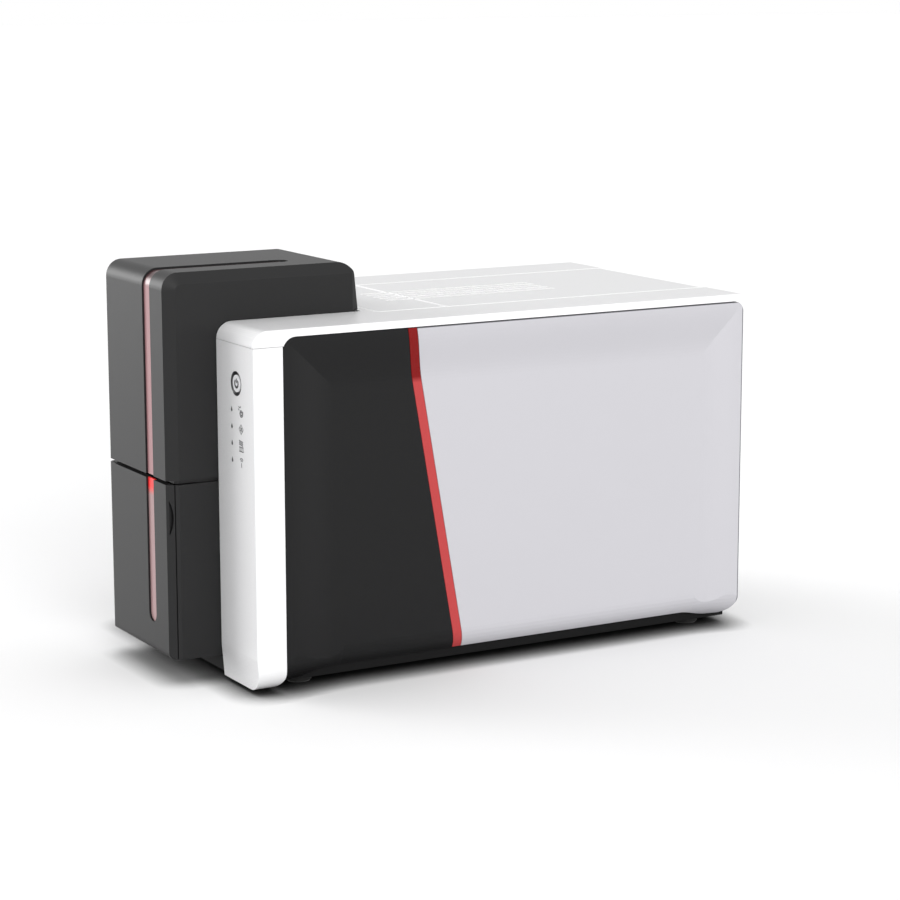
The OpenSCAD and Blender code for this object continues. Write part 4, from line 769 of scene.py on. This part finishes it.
netSocket = {"left": -24.0, "width": 16.5, "top": 31.4}
netPin = {
    "count": 8, "pitch": 1.27, "thick": 0.45, "inset": 1.3,
    # Each leaves the roof near the mouth and slopes down towards the back: depth, drop
    "path": ((184.0, 0), (184.6, 0), (175.2, 4.4), (172.1, 4.9), (172.1, 5.3), (175.0, 4.9)),
}
netLamp = {"inset": 1.25, "side": 1.3, "wide": 2.4, "tall": 1.7, "y": (183.4, 187.4)}


def fillNetPins(bm):
    middle = netSocket["left"] + netSocket["width"] / 2
    top = netSocket["top"] - netPin["inset"]
    half = netPin["thick"] / 2
    for i in range(netPin["count"]):
        x = middle + (i - (netPin["count"] - 1) / 2) * netPin["pitch"]
        capped(bm, [[bm.verts.new((x + side, y, top - drop)) for y, drop in netPin["path"]]
                    for side in (-half, half)])


def fillNetLamps(bm):
    top, wide = netSocket["top"] - netLamp["inset"], netLamp["wide"]
    front, back = netLamp["y"]
    left = netSocket["left"] + netLamp["side"]
    right = netSocket["left"] + netSocket["width"] - netLamp["side"] - wide
    for x in (left, right):
        block(bm, (x, front, top - netLamp["tall"]), (x + wide, back, top))


usbSocket = {"left": 4.0, "width": 12.4, "low": 17.6}
usbTongue = {"side": 3.6, "y": (172.0, 184.6), "z": (4.0, 7.2)}
usbPin = {"side": 4.5, "wide": 1.0, "thick": 0.16, "y": (173.0, 183.6), "z": (3.92, 7.12)}


def fillUsbTongue(bm):
    left, low, side = usbSocket["left"], usbSocket["low"], usbTongue["side"]
    (front, back), (under, over) = usbTongue["y"], usbTongue["z"]
    block(bm, (left + side, front, low + under),
          (left + usbSocket["width"] - side, back, low + over))


def fillUsbPins(bm):
    left, side, wide = usbSocket["left"], usbPin["side"], usbPin["wide"]
    front, back = usbPin["y"]
    for x in (left + side, left + usbSocket["width"] - side - wide):
        for z in usbPin["z"]:
            under = usbSocket["low"] + z
            block(bm, (x, front, under), (x + wide, back, under + usbPin["thick"]))


powerSocket = {"x": 35.0, "z": 23.6}
powerPin = {"back": 173.0, "profile": [(1.1, 0), (1.1, 8.6), (0.88, 9.3), (0.385, 9.7)],
            "facets": 20}
powerSleeve = {"bore": 4.25, "outer": 4.55, "y": (173.2, 185.6), "facets": 36}


def fillPowerPin(bm):
    turned(bm, powerPin["profile"], (powerSocket["x"], powerPin["back"], powerSocket["z"]), "Y",
           powerPin["facets"])


def fillPowerSleeve(bm):
    (back, mouth), bore, outer = powerSleeve["y"], powerSleeve["bore"], powerSleeve["outer"]
    centre = (powerSocket["x"], 0, powerSocket["z"])
    rows = [ring(bm, centre, "Y", y, [radius] * powerSleeve["facets"])
            for radius, y in ((outer, back), (outer, mouth), (bore, mouth), (bore, back))]
    ringFaces(bm, rows + [rows[0]])


goldPlate = brushed("goldPlate", srgb(222, 178, 84), 0.24, along="Y", depth=0.03)
lampGreen = moulded("lampGreen", srgb(96, 150, 96), 0.3, grain=0.6, depth=0.03, drift=0.03)
tongueWhite = moulded("tongueWhite", srgb(214, 212, 205), 0.4, grain=0.5, depth=0.05, drift=0.02)
newPiece("netPins", goldPlate, "chassis", fillNetPins)
newPiece("netLamps", lampGreen, "chassis", fillNetLamps, bevel=0.15)
newPiece("usbTongue", tongueWhite, "chassis", fillUsbTongue, bevel=0.25)
newPiece("usbPins", goldPlate, "chassis", fillUsbPins)
newPiece("powerPin", pinSteel, "chassis", fillPowerPin)
newPiece("powerSleeve", portTin, "chassis", fillPowerSleeve)
print("rear sockets dressed")

# Main board: chips with legs, connectors and small parts. Heights are over the board's face

boardFace = 17.6
# Chips: left, front, width, depth
chips = [(-8, 60, 14, 14), (22, 66, 9, 7), (8, 112, 12, 10), (30, 92, 6, 8), (-26, 134, 8, 6)]
chipBody = {"under": 0.15, "top": 1.7}
leg = {"pitch": 0.9, "inset": 0.5, "half": 0.17, "reach": 0.9, "tuck": 0.1, "z": (0.02, 0.5)}
# Plugs: left, front, width, depth, height
plugs = [(-30, 58, 6, 24, 6.5), (40, 96, 5, 20, 6.0), (-2, 44, 26, 5, 6.0), (36, 128, 7, 14, 7.5)]
plugBody = {"wall": 0.9, "floor": 1.6, "lap": 0.1}
tinyParts = {"columns": 9, "rows": 5, "origin": (-10, 82), "pitch": (4.1, 3.3),
             "wide": (1.1, 1.9, 1.9), "deep": 1.0, "tall": 0.6}


def fillChips(bm):
    for x, y, wide, deep in chips:
        block(bm, (x, y, boardFace + chipBody["under"]),
              (x + wide, y + deep, boardFace + chipBody["top"]))


def fillLegs(bm):
    under, over = (boardFace + z for z in leg["z"])
    for x, y, wide, deep in chips:
        count = int(deep / leg["pitch"])
        for i in range(count):
            at = y + leg["inset"] + i * (deep - 2 * leg["inset"]) / (count - 1)
            for start in (x - leg["reach"], x + wide - leg["tuck"]):
                block(bm, (start, at - leg["half"], under),
                      (start + leg["reach"] + leg["tuck"], at + leg["half"], over))


def fillPlugs(bm):
    wall = plugBody["wall"]
    for x, y, wide, deep, tall in plugs:
        right, back, top = x + wide, y + deep, boardFace + tall
        floor = boardFace + plugBody["floor"]
        low = floor - plugBody["lap"]
        block(bm, (x, y, boardFace), (right, back, floor))
        block(bm, (x, y, low), (x + wall, back, top))
        block(bm, (right - wall, y, low), (right, back, top))
        block(bm, (x, y, low), (right, y + wall, top))
        block(bm, (x, back - wall, low), (right, back, top))


# A field of small parts in two sizes, with one place in five left empty
def fillTinyParts(bm):
    (left, front), (stepX, stepY) = tinyParts["origin"], tinyParts["pitch"]
    for i in range(tinyParts["columns"]):
        for j in range(tinyParts["rows"]):
            if (i * 7 + j * 3) % 5:
                x, y = left + i * stepX, front + j * stepY
                wide = tinyParts["wide"][(i + j) % 3]
                block(bm, (x, y, boardFace),
                      (x + wide, y + tinyParts["deep"], boardFace + tinyParts["tall"]))


newPiece("boardChips", epoxyBlack, "chassis", fillChips, bevel=0.15)
newPiece("boardLegs", portTin, "chassis", fillLegs)
newPiece("boardPlugs", tongueWhite, "chassis", fillPlugs, bevel=0.12)
newPiece("boardParts", ceramic, "chassis", fillTinyParts, bevel=0.08)
print("main board dressed")

# Screws: one pan head with a cross cut into it, set in rows

screw = {
    "radius": 3.0, "rise": 1.7, "facets": 28, "sharpFrom": 30,
    "profile": ((1, 0), (1, 0.45), (0.86, 0.8), (0.5, 1), (0.2, 1)),   # shares of radius and rise
    "cut": 0.55, "reach": 1.9, "deep": 1.1,                            # the cross
}
facing = {"up": (0, 0, 0), "down": (180, 0, 0), "right": (0, 90, 0)}
screwRows = [
    # name, body, the way it looks, places along X, Y and Z, size
    ("boardScrew", "chassis", "up", (-28.8, 41.2), (46, 170), (boardFace - 0.02,), 0.85),
    ("plateScrew", "chassis", "up", (-45.8, 58.2), (-38, 60, 158), (8.8,), 0.9),
    ("trayScrew", "chassis", "down", (-62, 62), (-92, 20, 140), (4.52,), 1.0),
    ("motorScrew", "chassis", "right", (-53.52,), (11.6, 38.0), (88.3, 114.7), 0.75),
]


def crossHead():
    radius, rise = screw["radius"], screw["rise"]
    dome = bmesh.new()
    turned(dome, [(radius * r, rise * z) for r, z in screw["profile"]], (0, 0, 0), "Z",
           screw["facets"])
    cross = bmesh.new()
    low, high = rise - screw["deep"], rise + 1
    reach, half = screw["reach"], screw["cut"] / 2
    block(cross, (-reach, -half, low), (reach, half, high))
    block(cross, (-half, -reach, low), (half, reach, high))
    blank = addObject("blank", meshFrom(dome, "blank"))
    cutter = addObject("cutter", meshFrom(cross, "cutter"))
    trim = blank.modifiers.new("cross", "BOOLEAN")
    trim.object = cutter
    trim.solver = "EXACT"
    trim.use_self = True
    head = worked(blank)
    for old in (blank, cutter):
        bpy.data.objects.remove(old)
    head.materials.append(screwSteel)
    smoothFaces(head, screw["sharpFrom"])
    return head


screwSteel = brushed("screwSteel", srgb(176, 178, 182), 0.34, along="Z", depth=0.05)
screwHead = crossHead()
for name, body, way, xs, ys, zs, size in screwRows:
    for i, place in enumerate([(x, y, z) for x in xs for y in ys for z in zs]):
        head = addObject("%s%d" % (name, i + 1), screwHead)
        head.location = [v * mm for v in place]
        head.scale = (size, size, size)
        head.rotation_euler = [math.radians(a) for a in facing[way]]
        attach(head, body)
print("screws set")
